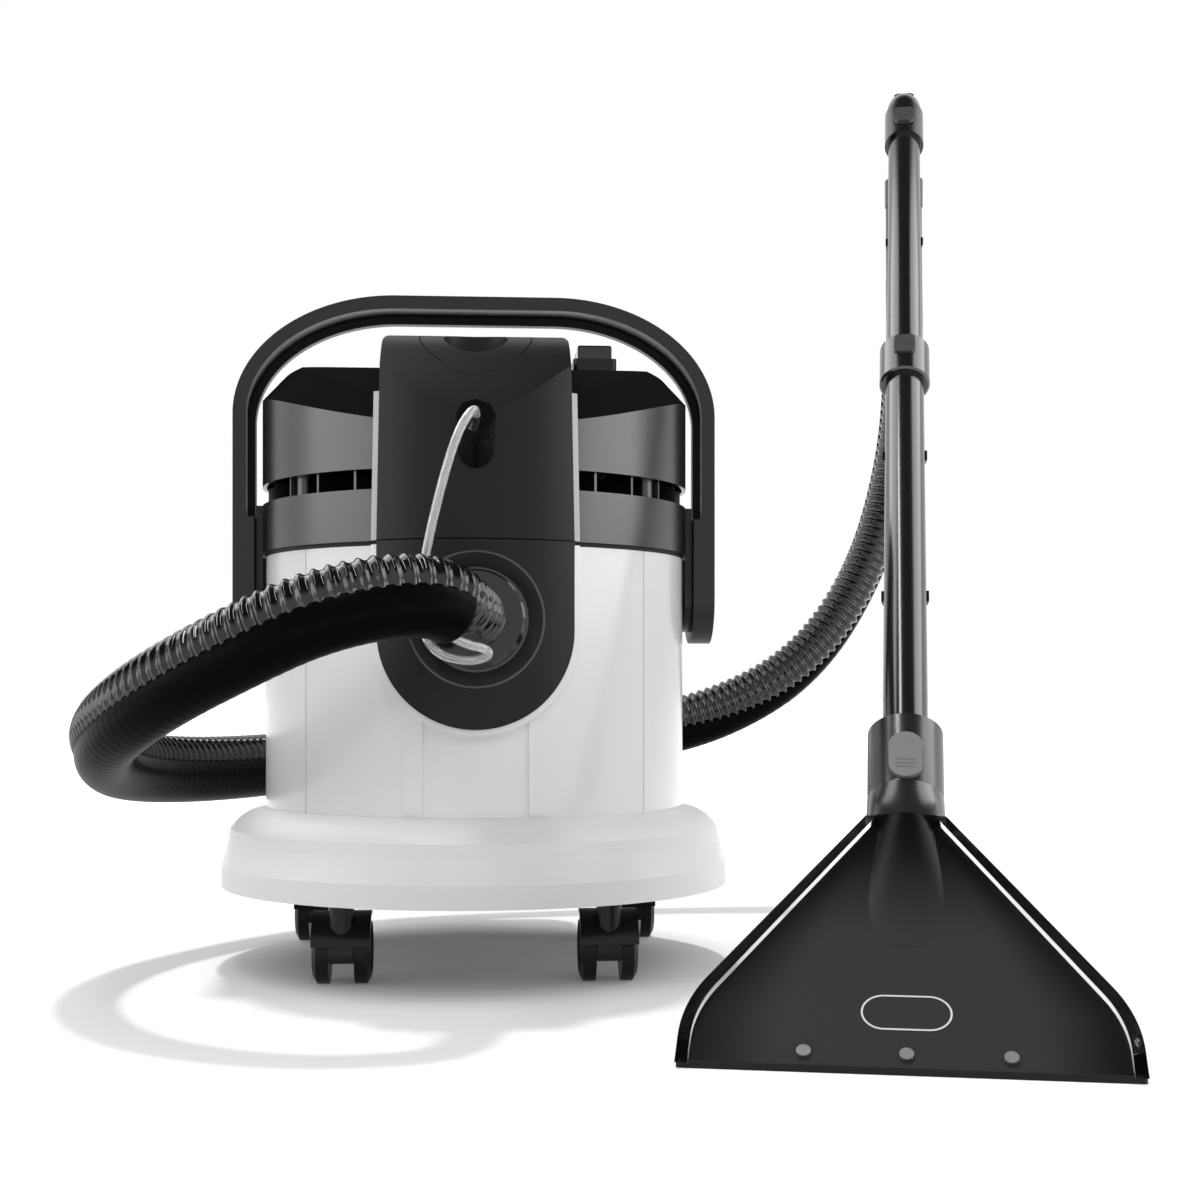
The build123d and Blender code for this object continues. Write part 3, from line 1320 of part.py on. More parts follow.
CLIP_FRONT = 3.0
with BuildPart() as pipe_clips:
    for clip_s, tube_r in ((110, LOWER_R), (255, LOWER_R), (520, UPPER_R)):
        with BuildSketch(tube_plane(clip_s)):
            Circle(tube_r + 2.2)
            with Locations((0, WATER_OFFSET / 2)):
                Rectangle(5, WATER_OFFSET)
            with Locations((0, WATER_OFFSET)):
                Circle(WATER_R + 2)
                Circle(WATER_R, mode=Mode.SUBTRACT)
            Circle(tube_r, mode=Mode.SUBTRACT)
            with Locations((0, CLIP_FRONT - 2 * tube_r)):
                Rectangle(4 * tube_r, 4 * tube_r, mode=Mode.SUBTRACT)
        extrude(amount=CLIP_LENGTH)
save(pipe_clips.part, "pipe_clips")

# Wand handle: tube socket, bent grip, hose cuff, spray valve with its lever, and the lock on top
GRIP_CORNER = 17.0
GRIP_T = 806.0
GRIP_END_Z = 684.0
GRIP_DROP = 2.0
grip_corner_t, grip_corner_z = along_tube(TOP_HIGH + GRIP_CORNER, 0)
TRIGGER_T = grip_corner_t + 27
TRIGGER_Z = grip_corner_z - 24.5
TRIGGER_REACH = 44.0
TRIGGER_HALF = 4.0
LOCK_T = grip_corner_t + 23
LOCK_LENGTH = 12.0
LOCK_TRAVEL = 10.0
LOCK_HALF = 4.0
PAD_Z = grip_corner_z + GRIP_R + 1.5
LOCK_FLOOR = grip_corner_z + GRIP_BORE + 1.2
END = Plane(on_wand(GRIP_T, GRIP_END_Z), x_dir=WAND.z_dir, z_dir=(0, 0, 1))
with BuildPart() as wand_handle:
    with BuildLine() as grip_run:
        FilletPolyline(
            on_wand(*along_tube(TOP_HIGH, 0)),
            on_wand(grip_corner_t, grip_corner_z),
            on_wand(GRIP_T, grip_corner_z - GRIP_DROP),
            on_wand(GRIP_T, GRIP_END_Z),
            radius=[32, 38],
        )
    with BuildSketch(tube_plane(TOP_HIGH)):
        Circle(GRIP_R)
    sweep()
    with BuildSketch(tube_plane(TOP_LOW)):
        Circle(TOP_R)
    extrude(amount=TOP_HIGH - TOP_LOW)
    with BuildSketch(END):
        Circle(CUFF_R)
    extrude(amount=CUFF_LENGTH)
    with BuildSketch(WAND):
        with BuildLine():
            Polyline(
                (TRIGGER_T - 20, TRIGGER_Z - 9),
                (TRIGGER_T + 6, TRIGGER_Z - 7),
                (TRIGGER_T + 12, grip_corner_z - GRIP_R + 3),
                (TRIGGER_T - 24, grip_corner_z - GRIP_R + 3),
                close=True,
            )
        make_face()
    extrude(amount=TRIGGER_HALF + 4.5, both=True)
    with BuildSketch(WAND):
        with Locations((LOCK_T + 10, (PAD_Z + grip_corner_z) / 2)):
            Rectangle(LOCK_LENGTH + LOCK_TRAVEL + 14, PAD_Z - grip_corner_z)
    extrude(amount=LOCK_HALF + 5, both=True)
    with BuildSketch(tube_plane(VALVE_LOW)):
        with Locations((0, WATER_OFFSET)):
            Circle(WATER_R + 2)
    extrude(amount=16)
    with BuildSketch(tube_plane(TOP_HIGH)):
        Circle(GRIP_BORE)
    sweep(path=grip_run.wires()[0], mode=Mode.SUBTRACT)
    with BuildSketch(tube_plane(TOP_LOW)):
        Circle(UPPER_R)
    extrude(amount=UPPER_END - TOP_LOW, mode=Mode.SUBTRACT)
    with BuildSketch(tube_plane(UPPER_END)):
        Circle(GRIP_BORE)
    extrude(amount=TOP_HIGH - UPPER_END, mode=Mode.SUBTRACT)
    add(button_pocket(TOP_BUTTON, UPPER_R), mode=Mode.SUBTRACT)
    with BuildSketch(WAND):
        with Locations((TRIGGER_T + 2, TRIGGER_Z - 2)):
            Rectangle(30, 17)
    extrude(amount=TRIGGER_HALF + SLIP_FIT, both=True, mode=Mode.SUBTRACT)
    with BuildSketch(WAND):
        with Locations((TRIGGER_T, TRIGGER_Z)):
            Circle(2 + RUN_FIT)
    extrude(amount=TRIGGER_HALF + 4.5, both=True, mode=Mode.SUBTRACT)
    with BuildSketch(WAND):
        with Locations((LOCK_T + (LOCK_LENGTH + LOCK_TRAVEL) / 2, (PAD_Z + LOCK_FLOOR) / 2)):
            Rectangle(LOCK_LENGTH + LOCK_TRAVEL + 2 * SLIP_FIT, PAD_Z - LOCK_FLOOR)
    extrude(amount=LOCK_HALF + SLIP_FIT, both=True, mode=Mode.SUBTRACT)
save(wand_handle.part, "wand_handle")

with BuildPart() as top_latch:
    add(push_button(TOP_BUTTON, UPPER_R, TOP_R + 4))
save(top_latch.part, "top_latch")

with BuildPart() as spray_trigger:
    with BuildSketch(WAND):
        with BuildLine():
            Polyline(
                (TRIGGER_T - 5, TRIGGER_Z + 3),
                (TRIGGER_T + 6, TRIGGER_Z + 2),
                (TRIGGER_T + TRIGGER_REACH, TRIGGER_Z - 4),
                (TRIGGER_T + TRIGGER_REACH + 4, TRIGGER_Z - 10),
                (TRIGGER_T + TRIGGER_REACH - 6, TRIGGER_Z - 13),
                (TRIGGER_T + 14, TRIGGER_Z - 9),
                (TRIGGER_T - 5, TRIGGER_Z - 4),
                close=True,
            )
        make_face()
    extrude(amount=TRIGGER_HALF, both=True)
    with BuildSketch(WAND):
        with Locations((TRIGGER_T, TRIGGER_Z)):
            Circle(2)
    extrude(amount=TRIGGER_HALF + 4, both=True)
save(spray_trigger.part, "spray_trigger")

with BuildPart() as trigger_lock:
    with BuildSketch(WAND):
        with Locations((LOCK_T + LOCK_LENGTH / 2, (PAD_Z + LOCK_FLOOR) / 2 + SLIP_FIT)):
            Rectangle(LOCK_LENGTH, PAD_Z - LOCK_FLOOR)
    extrude(amount=LOCK_HALF, both=True)
    with BuildSketch(WAND):
        with Locations((LOCK_T + LOCK_LENGTH / 2, PAD_Z + SLIP_FIT + 1.5)):
            Trapezoid(LOCK_LENGTH + 4, 3, 60)
    extrude(amount=LOCK_HALF + 3, both=True)
save(trigger_lock.part, "trigger_lock")

# Suction hose: straight runs with tangent bends, from the port round the back to the wand
hose_points = [
    at(0, -COLLAR_END, PORT_Z),
    at(0, -252, PORT_Z),
    at(-26, -288, 276),
    at(-92, -304, 265),
    at(-156, -288, 236),
    at(-214, -244, 207),
    at(-254, -170, 182),
    at(-267, -84, 163),
    at(-252, 6, 153),
    at(-212, 94, 149),
    at(-156, 182, 151),
    at(-84, 262, 155),
    at(20, 302, 160),
    at(120, 320, 168),
    at(210, 330, 186),
    at(296, 338, 236),
    at(360, 346, 324),
    at(400, 352, 432),
    at(418, 352, 540),
    on_wand(GRIP_T, GRIP_END_Z - 54),
    on_wand(GRIP_T, GRIP_END_Z),
]


def bend_radii(points):
    """The largest tangent bend at each corner that leaves a tenth of the shorter run straight."""
    radii = []
    for before, corner, after in zip(points, points[1:], points[2:]):
        arriving = corner - before
        leaving = after - corner
        run = min(arriving.length, leaving.length)
        turn = radians(arriving.get_angle(leaving))
        radii.append(0.45 * run / tan(turn / 2))
    return radii


hose_radii = bend_radii(hose_points)
with BuildLine() as hose_line:
    FilletPolyline(*hose_points, radius=hose_radii)
hose_wire = hose_line.wires()[0]
HOSE_LENGTH = hose_wire.length
print("hose length", round(HOSE_LENGTH), "bends", [round(radius) for radius in hose_radii])


def station(along, steady):
    """A plane square to the hose at this distance, turned as little as the bends allow."""
    place = hose_wire.position_at(along, position_mode=PositionMode.LENGTH)
    tangent = hose_wire.tangent_at(along, position_mode=PositionMode.LENGTH)
    steady = (steady - tangent * steady.dot(tangent)).normalized()
    return Plane(place, x_dir=steady, z_dir=tangent)


PITCH = HOSE_LENGTH / RIB_COUNT
VALLEY_R = HOSE_R - RIB_DEPTH
BORE_STATIONS = 48
rib_steps = ((0.0, VALLEY_R), (0.2, HOSE_R), (0.55, HOSE_R), (0.75, VALLEY_R))
lowest = Vector(sin(radians(SLEEVE_TILT)), 0, -cos(radians(SLEEVE_TILT)))
with BuildPart() as hose:
    square = station(0, lowest)
    for rib in range(RIB_COUNT):
        for step, radius in rib_steps:
            square = station((rib + step) * PITCH, square.x_dir)
            with BuildSketch(square):
                Circle(radius)
    square = station(HOSE_LENGTH, square.x_dir)
    with BuildSketch(square):
        Circle(VALLEY_R)
    loft(ruled=True)
    square = station(0, lowest)
    for index in range(BORE_STATIONS + 1):
        square = station(HOSE_LENGTH * index / BORE_STATIONS, square.x_dir)
        with BuildSketch(square):
            Circle(HOSE_BORE)
    loft(ruled=True, mode=Mode.SUBTRACT)
save(hose.part, "hose")
print("hose volume", round(hose.part.volume))

# Sleeve under the hose that carries the spray tube and the cable
SLEEVE_START = 70.0
SLEEVE_END = HOSE_LENGTH - 70
ROOM_R = HOSE_R + SLEEVE_FIT
meet_x = (ROOM_R**2 - SLEEVE_R**2 + SLEEVE_DROP**2) / (2 * SLEEVE_DROP)
meet_y = sqrt(ROOM_R**2 - meet_x**2)
SLEEVE_EVEN = SLEEVE_START + SLEEVE_TURN_STEP * SLEEVE_TURN_STATIONS
sleeve_places = [SLEEVE_START + SLEEVE_TURN_STEP * index for index in range(SLEEVE_TURN_STATIONS)]
for index in range(SLEEVE_STATIONS + 1):
    sleeve_places.append(SLEEVE_EVEN + (SLEEVE_END - SLEEVE_EVEN) * index / SLEEVE_STATIONS)
with BuildPart() as hose_sleeve:
    square = station(0, lowest)
    for along in sleeve_places:
        square = station(along, square.x_dir)
        with BuildSketch(square):
            with BuildLine():
                ThreePointArc((meet_x, -meet_y), (SLEEVE_DROP + SLEEVE_R, 0), (meet_x, meet_y))
                ThreePointArc((meet_x, meet_y), (ROOM_R, 0), (meet_x, -meet_y))
            make_face()
    loft(ruled=True)
save(hose_sleeve.part, "hose_sleeve")

# Clear spray tube from its plug, down behind the hose and into the sleeve's end
tube_end = station(SLEEVE_START, lowest)
channel = tube_end.origin + tube_end.x_dir * (ROOM_R + SLEEVE_R + SLEEVE_DROP) / 2
spray_tip = SPRAY.origin + spray_out * (SPRAY_LENGTH + PLUG_HEAD)
spray_points = [
    spray_tip,
    spray_tip + spray_out * 13,
    at(-14, -232, 372),
    at(-33, -218, 300),
    at(-36, -210, 246),
    at(-24, -222, 226),
    at(-2, -244, 223),
    at(12, -258, 230),
    at(13, -263, 240),
    channel - tube_end.z_dir * 14,
    channel,
]
spray_radii = bend_radii(spray_points)
print("spray tube bends", [round(radius) for radius in spray_radii])
with BuildPart() as spray_tube:
    with BuildLine() as spray_line:
        FilletPolyline(*spray_points, radius=spray_radii)
    with BuildSketch(Plane(spray_tip, z_dir=spray_out)):
        Circle(SPRAY_TUBE_R)
    sweep()
save(spray_tube.part, "spray_tube")
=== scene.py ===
import math

import bpy
from mathutils import Matrix, Vector


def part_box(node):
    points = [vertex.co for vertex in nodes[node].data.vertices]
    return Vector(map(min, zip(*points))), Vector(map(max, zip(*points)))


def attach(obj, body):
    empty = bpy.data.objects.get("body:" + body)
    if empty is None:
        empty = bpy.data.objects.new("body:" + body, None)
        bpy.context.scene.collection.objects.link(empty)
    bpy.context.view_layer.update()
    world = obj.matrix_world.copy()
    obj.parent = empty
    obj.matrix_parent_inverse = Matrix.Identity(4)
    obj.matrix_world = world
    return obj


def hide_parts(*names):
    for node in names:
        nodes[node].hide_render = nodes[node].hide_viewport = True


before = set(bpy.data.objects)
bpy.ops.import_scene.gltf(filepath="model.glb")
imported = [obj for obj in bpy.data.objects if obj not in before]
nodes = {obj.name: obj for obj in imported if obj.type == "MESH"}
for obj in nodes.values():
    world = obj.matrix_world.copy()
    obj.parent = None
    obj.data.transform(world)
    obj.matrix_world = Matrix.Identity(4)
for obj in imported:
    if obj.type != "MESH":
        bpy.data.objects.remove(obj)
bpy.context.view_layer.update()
scene = bpy.context.scene

# Values shared with the part, in metres: the machine's axis, the wand's foot and the hose
AXIS_X = -0.1238
AXIS_Y = 0.0505
MOUTH = (233, -433, 0)
WAND_TURN = math.radians(13.56)
HOOD_PITCH = math.radians(38)
WAND_PITCH = math.radians(50.8)
COVER_FACE = 0.004
HOSE_R = 0.020
SLEEVE_R = 0.020
SLEEVE_DROP = 0.013
SLEEVE_ROOM = 0.0208
SLEEVE_TILT = math.radians(2)
SLEEVE_START = 0.070
SLEEVE_SHORT = 0.070
SPRAY_R = 0.003
SPRAY_BORE = 0.0021
SPRAY_TILT = math.radians(28)


def at(x, y, z):
    """A point given in millimetres from the machine's axis, in the row frame in metres."""
    return Vector((AXIS_X + x / 1000, AXIS_Y + y / 1000, z / 1000))


# Camera as fitted to the photograph
CAMERA_AT = at(0, -1384, 210.5)
CAMERA_YAW = math.radians(-3.99)
CAMERA_LENS = 53.4
CAMERA_SENSOR = 36
CAMERA_SHIFT_Y = 0.072
CAMERA_REACH = 50


def make_camera():
    data = bpy.data.cameras.new("camera")
    camera = bpy.data.objects.new("camera", data)
    scene.collection.objects.link(camera)
    camera.location = CAMERA_AT
    camera.rotation_euler = (math.radians(90), 0, CAMERA_YAW)
    data.lens = CAMERA_LENS
    data.sensor_width = CAMERA_SENSOR
    data.shift_y = CAMERA_SHIFT_Y
    data.clip_end = CAMERA_REACH
    scene.camera = camera


make_camera()


# Routes and swept meshes
ROUTE_STEPS = 40


def route_points(name, points):
    """Points read along the smooth spline that has the route's points as its control points."""
    curve = bpy.data.curves.new(name, "CURVE")
    curve.dimensions = "3D"
    spline = curve.splines.new("NURBS")
    spline.points.add(len(points) - 1)
    for place, point in zip(spline.points, points):
        place.co = (*point, 1)
    spline.order_u = 3
    spline.use_endpoint_u = True
    curve.resolution_u = ROUTE_STEPS
    route = bpy.data.objects.new(name, curve)
    scene.collection.objects.link(route)
    mesh = bpy.data.meshes.new_from_object(route)
    line = [vertex.co.copy() for vertex in mesh.vertices]
    bpy.data.objects.remove(route)
    bpy.data.curves.remove(curve)
    bpy.data.meshes.remove(mesh)
    return line


class Line:
    """A polyline measured by its length, with frames that turn as little as its bends allow."""

    def __init__(self, points, steady):
        self.points = points
        self.reach = [0.0]
        for a, b in zip(points, points[1:]):
            self.reach.append(self.reach[-1] + (b - a).length)
        self.length = self.reach[-1]
        self.sides = []
        side = steady
        for i in range(len(points)):
            tangent = self.tangent(i)
            side = (side - tangent * side.dot(tangent)).normalized()
            self.sides.append(side)

    def tangent(self, i):
        a = self.points[max(i - 1, 0)]
        b = self.points[min(i + 1, len(self.points) - 1)]
        return (b - a).normalized()

    def frame(self, along):
        """Place, tangent, side and across at this distance along the line."""
        along = min(max(along, 0.0), self.length)
        low, high = 0, len(self.reach) - 1
        while high - low > 1:
            mid = (low + high) // 2
            if self.reach[mid] <= along:
                low = mid
            else:
                high = mid
        span = self.reach[high] - self.reach[low]
        part = (along - self.reach[low]) / span if span else 0.0
        place = self.points[low].lerp(self.points[high], part)
        tangent = self.tangent(low).lerp(self.tangent(high), part).normalized()
        side = self.sides[low].lerp(self.sides[high], part)
        side = (side - tangent * side.dot(tangent)).normalized()
        return place, tangent, side, tangent.cross(side)


def mesh_object(name, verts, faces, smooth=True):
    mesh = bpy.data.meshes.new(name)
    mesh.from_pydata(verts, [], faces)
    mesh.update()
    for face in mesh.polygons:
        face.use_smooth = smooth
    piece = bpy.data.objects.new(name, mesh)
    scene.collection.objects.link(piece)
    return piece


def swept_rows(line, stations, section):
    """The rings of points of a section carried along the line."""
    rows = []
    for along in stations:
        place, _, side, across = line.frame(along)
        rows.append([place + side * x + across * y for x, y in section(along)])
    return rows


def skin(rows, flip=False, start=0):
    """Quads between neighbouring rings, with vertex numbers counted from start."""
    count = len(rows[0])
    faces = []
    for r in range(len(rows) - 1):
        for c in range(count):
            d = (c + 1) % count
            low, high = start + r * count, start + (r + 1) * count
            face = (low + c, low + d, high + d, high + c)
            faces.append(face[::-1] if flip else face)
    return faces


def swept(name, line, stations, section):
    """A closed solid through these stations; section gives the outline at each one."""
    rows = swept_rows(line, stations, section)
    count = len(rows[0])
    verts = [point for row in rows for point in row]
    faces = skin(rows)
    faces.append(tuple(reversed(range(count))))
    faces.append(tuple(len(verts) - count + c for c in range(count)))
    return mesh_object(name, verts, faces)


def swept_pipe(name, line, stations, outer, bore):
    """A closed pipe: an outer and an inner skin, joined by a ring at each end."""
    outside = swept_rows(line, stations, outer)
    inside = swept_rows(line, stations, bore)
    count = len(outside[0])
    verts = [point for row in outside + inside for point in row]
    half = len(outside) * count
    faces = skin(outside) + skin(inside, flip=True, start=half)
    last = half - count
    for c in range(count):
        d = (c + 1) % count
        faces.append((c, half + c, half + d, d))
        faces.append((last + c, last + d, half + last + d, half + last + c))
    return mesh_object(name, verts, faces)


def circle(radius, count):
    step = 2 * math.pi / count
    return [(radius * math.cos(step * i), radius * math.sin(step * i)) for i in range(count)]


def spaced(start, end, count):
    return [start + (end - start) * i / count for i in range(count + 1)]


def eased(part):
    """A share held between 0 and 1, with soft ends."""
    part = min(max(part, 0.0), 1.0)
    return part * part * (3 - 2 * part)


# Suction hose: the route of the part's tube, with a rib every few millimetres
hose_route = [
    at(0, -206, 256),
    at(0, -252, 256),
    at(-26, -288, 276),
    at(-92, -304, 265),
    at(-156, -288, 236),
    at(-214, -244, 207),
    at(-254, -170, 182),
    at(-267, -84, 163),
    at(-252, 6, 153),
    at(-212, 94, 149),
    at(-156, 182, 151),
    at(-84, 262, 155),
    at(20, 302, 160),
    at(120, 320, 168),
    at(222, 330, 184),
    at(318, 338, 232),
    at(382, 346, 320),
    at(416, 352, 432),
    at(424, 352, 540),
    at(421.99, 350.53, 630),
    at(421.99, 350.53, 684),
]
RIB_PITCH = 0.0085
RIB_DEPTH = 0.0023
RIB_NARROW = 1.3
RIB_ROWS = 10
CUFF_LENGTH = 0.17
HOSE_SIDES = 44
lowest = Vector((math.sin(SLEEVE_TILT), 0, -math.cos(SLEEVE_TILT)))
hose_line = Line(route_points("hose_route", hose_route), lowest)
rib_count = round(hose_line.length / RIB_PITCH)
rib_pitch = hose_line.length / rib_count


def rib_crest(along):
    """From 0 in the valley to 1 on a rib's narrow round crest."""
    phase = along / rib_pitch
    cuff = min(max((hose_line.length - along - CUFF_LENGTH) / rib_pitch, 0.0), 1.0)
    return cuff * (0.5 - 0.5 * math.cos(2 * math.pi * phase)) ** RIB_NARROW


def hose_section(along):
    return circle(HOSE_R - RIB_DEPTH * (1 - rib_crest(along)), HOSE_SIDES)


hose_stations = spaced(0, hose_line.length, rib_count * RIB_ROWS)
hose = swept("hose_ribbed", hose_line, hose_stations, hose_section)
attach(hose, "machine")
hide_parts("hose")

# Sleeve under the hose, drawn tight over the ribs, so that they show through faintly.
# Towards the wand it swings behind the hose, and hugs the smooth cuff.
SLEEVE_ARC = 40
SLEEVE_ROOM_ARC = 24
SLEEVE_ROWS = 5
SLEEVE_RIPPLE = 0.00012
SLEEVE_GRIP = 0.6
SLEEVE_TWIST = math.radians(89)
TWIST_FROM = 0.75
TWIST_RUN = 0.40
CUFF_FIT = (HOSE_R - RIB_DEPTH) / HOSE_R
CUFF_EASE = 0.03
sleeve_end = hose_line.length - SLEEVE_SHORT


def sleeve_twist(along):
    """How far the sleeve has turned round the hose, as it swings behind the wand."""
    return SLEEVE_TWIST * eased((along - hose_line.length + TWIST_FROM) / TWIST_RUN)


def sleeve_fit(along):
    """The sleeve's scale, smaller where it hugs the hose's smooth cuff."""
    return 1 + (CUFF_FIT - 1) * eased((along - hose_line.length + CUFF_LENGTH) / CUFF_EASE)


def sleeve_section(along):
    """A crescent: the outer arc hangs below the hose, the inner one lies in its valleys."""
    inner = HOSE_R - RIB_DEPTH * SLEEVE_GRIP
    outer = SLEEVE_R + SLEEVE_RIPPLE * (rib_crest(along) - 1)
    meet = (inner**2 - outer**2 + SLEEVE_DROP**2) / (2 * SLEEVE_DROP)
    half_in = math.acos(meet / inner)
    half_out = math.acos((meet - SLEEVE_DROP) / outer)
    ring = []
    for turn in spaced(-half_out, half_out, SLEEVE_ARC):
        ring.append((SLEEVE_DROP + outer * math.cos(turn), outer * math.sin(turn)))
    for turn in spaced(half_in, -half_in, SLEEVE_ROOM_ARC)[1:-1]:
        ring.append((inner * math.cos(turn), inner * math.sin(turn)))
    twist = sleeve_twist(along)
    fit = sleeve_fit(along)
    cos, sin = fit * math.cos(twist), fit * math.sin(twist)
    return [(x * cos - y * sin, x * sin + y * cos) for x, y in ring]


sleeve_rows = round((sleeve_end - SLEEVE_START) / rib_pitch) * SLEEVE_ROWS
sleeve_stations = spaced(SLEEVE_START, sleeve_end, sleeve_rows)
sleeve = swept("hose_sheath", hose_line, sleeve_stations, sleeve_section)
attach(sleeve, "machine")
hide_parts("hose_sleeve")

# Clear spray tube from its plug, down behind the hose and into the sleeve's end
SPRAY_OUTLET = at(0, -179, 372)
SPRAY_PLUG = 0.036
SPRAY_STRAIGHT = 0.013
SPRAY_ENTRY = 0.014
SPRAY_SIDES = 24
SPRAY_ROWS = 260
place, tangent, side, _ = hose_line.frame(SLEEVE_START)
channel = place + side * (SLEEVE_ROOM + SLEEVE_R + SLEEVE_DROP) / 2
spray_out = Vector((0, -math.cos(SPRAY_TILT), math.sin(SPRAY_TILT)))
spray_tip = SPRAY_OUTLET + spray_out * SPRAY_PLUG
spray_route = [
    spray_tip,
    spray_tip + spray_out * SPRAY_STRAIGHT,
    at(-14, -232, 372),
    at(-33, -218, 300),
    at(-38, -213, 256),
    at(-28, -221, 232),
    at(-6, -238, 226),
    at(8, -251, 229),
    at(8, -262, 234),
    channel - tangent * SPRAY_ENTRY,
    channel,
]
spray_line = Line(route_points("spray_route", spray_route), Vector((1, 0, 0)))
spray_tube = swept_pipe(
    "spray_tube_clear",
    spray_line,
    spaced(0, spray_line.length, SPRAY_ROWS),
    lambda along: circle(SPRAY_R, SPRAY_SIDES),
    lambda along: circle(SPRAY_BORE, SPRAY_SIDES),
)
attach(spray_tube, "machine")
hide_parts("spray_tube")

# Carry handle with the wide, low corners of the photograph, in place of the part's round ones
HANDLE_HALF = 0.182
HANDLE_TOP = 0.5055
CORNER_WIDE = 0.122
CORNER_HIGH = 0.090
HANDLE_DEPTH = 0.034
HANDLE_THICK = 0.010
HANDLE_WEB = 0.004
HANDLE_LIP = 0.009
PIVOT_Z = 0.278
ARM_HEAD_TOP = 0.338
ARM_HEAD_THICK = 0.016
PIN_ROOM = 0.00605
CORNER_STEPS = 40
HEAD_STEPS = 72
HANDLE_SHARP = math.radians(30)
TINY = 1e-6


def bail_point(corner_x, corner_z, turn, inset):
    """Where the bail's outline lies, this far in from its outer face."""
    x = corner_x + (CORNER_WIDE - inset) * math.cos(turn)
    z = corner_z + (CORNER_HIGH - inset) * math.sin(turn)
    return x, z


def bail_rows():
    """Rings of the channelled bail, from one arm's head over the top to the other."""
    lips = HANDLE_DEPTH - HANDLE_LIP
    section = [
        (0, -HANDLE_DEPTH),
        (0, HANDLE_DEPTH),
        (HANDLE_THICK, HANDLE_DEPTH),
        (HANDLE_THICK, lips),
        (HANDLE_WEB, lips),
        (HANDLE_WEB, -lips),
        (HANDLE_THICK, -lips),
        (HANDLE_THICK, -HANDLE_DEPTH),
    ]
    bend_x = HANDLE_HALF - CORNER_WIDE
    bend_z = HANDLE_TOP - CORNER_HIGH
    rows = []

    def ring(place):
        row = []
        for inset, y in section:
            x, z = place(inset)
            row.append(Vector((AXIS_X + x, AXIS_Y + y, z)))
        rows.append(row)

    ring(lambda inset: (HANDLE_HALF - inset, ARM_HEAD_TOP))
    for turn in spaced(0, math.pi / 2, CORNER_STEPS):
        ring(lambda inset: bail_point(bend_x, bend_z, turn, inset))
    for turn in spaced(math.pi / 2, math.pi, CORNER_STEPS):
        ring(lambda inset: bail_point(-bend_x, bend_z, turn, inset))
    ring(lambda inset: (inset - HANDLE_HALF, ARM_HEAD_TOP))
    return rows


def head_outline():
    """An arm's head in side view, round below and square above, and its pivot's hole."""
    rise = ARM_HEAD_TOP - PIVOT_Z
    corner = math.atan2(rise, HANDLE_DEPTH)
    turns = [2 * math.pi * i / HEAD_STEPS for i in range(HEAD_STEPS)]
    turns = sorted(turns + [corner, math.pi - corner])
    outside, hole = [], []
    for turn in turns:
        y, z = math.cos(turn), math.sin(turn)
        reach = HANDLE_DEPTH
        if z > 0:
            reach = min(rise / z, HANDLE_DEPTH / max(abs(y), TINY))
        outside.append((y * reach, z * reach))
        hole.append((y * PIN_ROOM, z * PIN_ROOM))
    return outside, hole


def make_handle():
    rows = bail_rows()
    count = len(rows[0])
    verts = [point for row in rows for point in row]
    faces = skin(rows, flip=True)
    faces.append(tuple(range(count)))
    faces.append(tuple(len(verts) - 1 - c for c in range(count)))
    for side in (-1, 1):
        rings = []
        outside, hole = head_outline()
        thick = ARM_HEAD_THICK
        for deep, ring in ((0, outside), (thick, outside), (thick, hole), (0, hole)):
            x = AXIS_X + side * (HANDLE_HALF - deep)
            rings.append([Vector((x, AXIS_Y + y, PIVOT_Z + z)) for y, z in ring])
        start = len(verts)
        verts.extend(point for ring in rings for point in ring)
        total = len(rings) * len(rings[0])
        for face in skin(rings + [rings[0]], flip=side > 0):
            faces.append(tuple(start + i % total for i in face))
    piece = mesh_object("handle_bail", verts, faces, smooth=False)
    piece.data.set_sharp_from_angle(angle=HANDLE_SHARP)
    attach(piece, "handle")
    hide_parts("carry_handle")
    return piece


handle = make_handle()

# Bare badge outline on the nozzle's hood: a thin raised stadium
wand_across = Vector((math.cos(WAND_TURN), -math.sin(WAND_TURN), 0))
wand_along = Vector((math.sin(WAND_TURN), math.cos(WAND_TURN), 0))
hood_up = wand_along * math.cos(HOOD_PITCH) + Vector((0, 0, math.sin(HOOD_PITCH)))
hood_out = wand_across.cross(hood_up)
wand_axis = wand_along * math.cos(WAND_PITCH) + Vector((0, 0, math.sin(WAND_PITCH)))


def on_hood(u, v, out):
    """A point on the hood in metres: across, up the slope and out from the cover's face."""
    return at(*MOUTH) + wand_across * u + hood_up * v + hood_out * (COVER_FACE + out)


BADGE_V = 0.0405
BADGE_HALF = 0.0253
BADGE_TALL = 0.0128
BADGE_LINE = 0.0011
BADGE_RISE = 0.00035
BADGE_SINK = -0.0004
BADGE_ARC = 24


def stadium(half, tall):
    """A slot outline round the origin, as points."""
    straight = half - tall
    ring = []
    for centre, start in ((straight, -math.pi / 2), (-straight, math.pi / 2)):
        for turn in spaced(start, start + math.pi, BADGE_ARC):
            ring.append((centre + tall * math.cos(turn), tall * math.sin(turn)))
    return ring


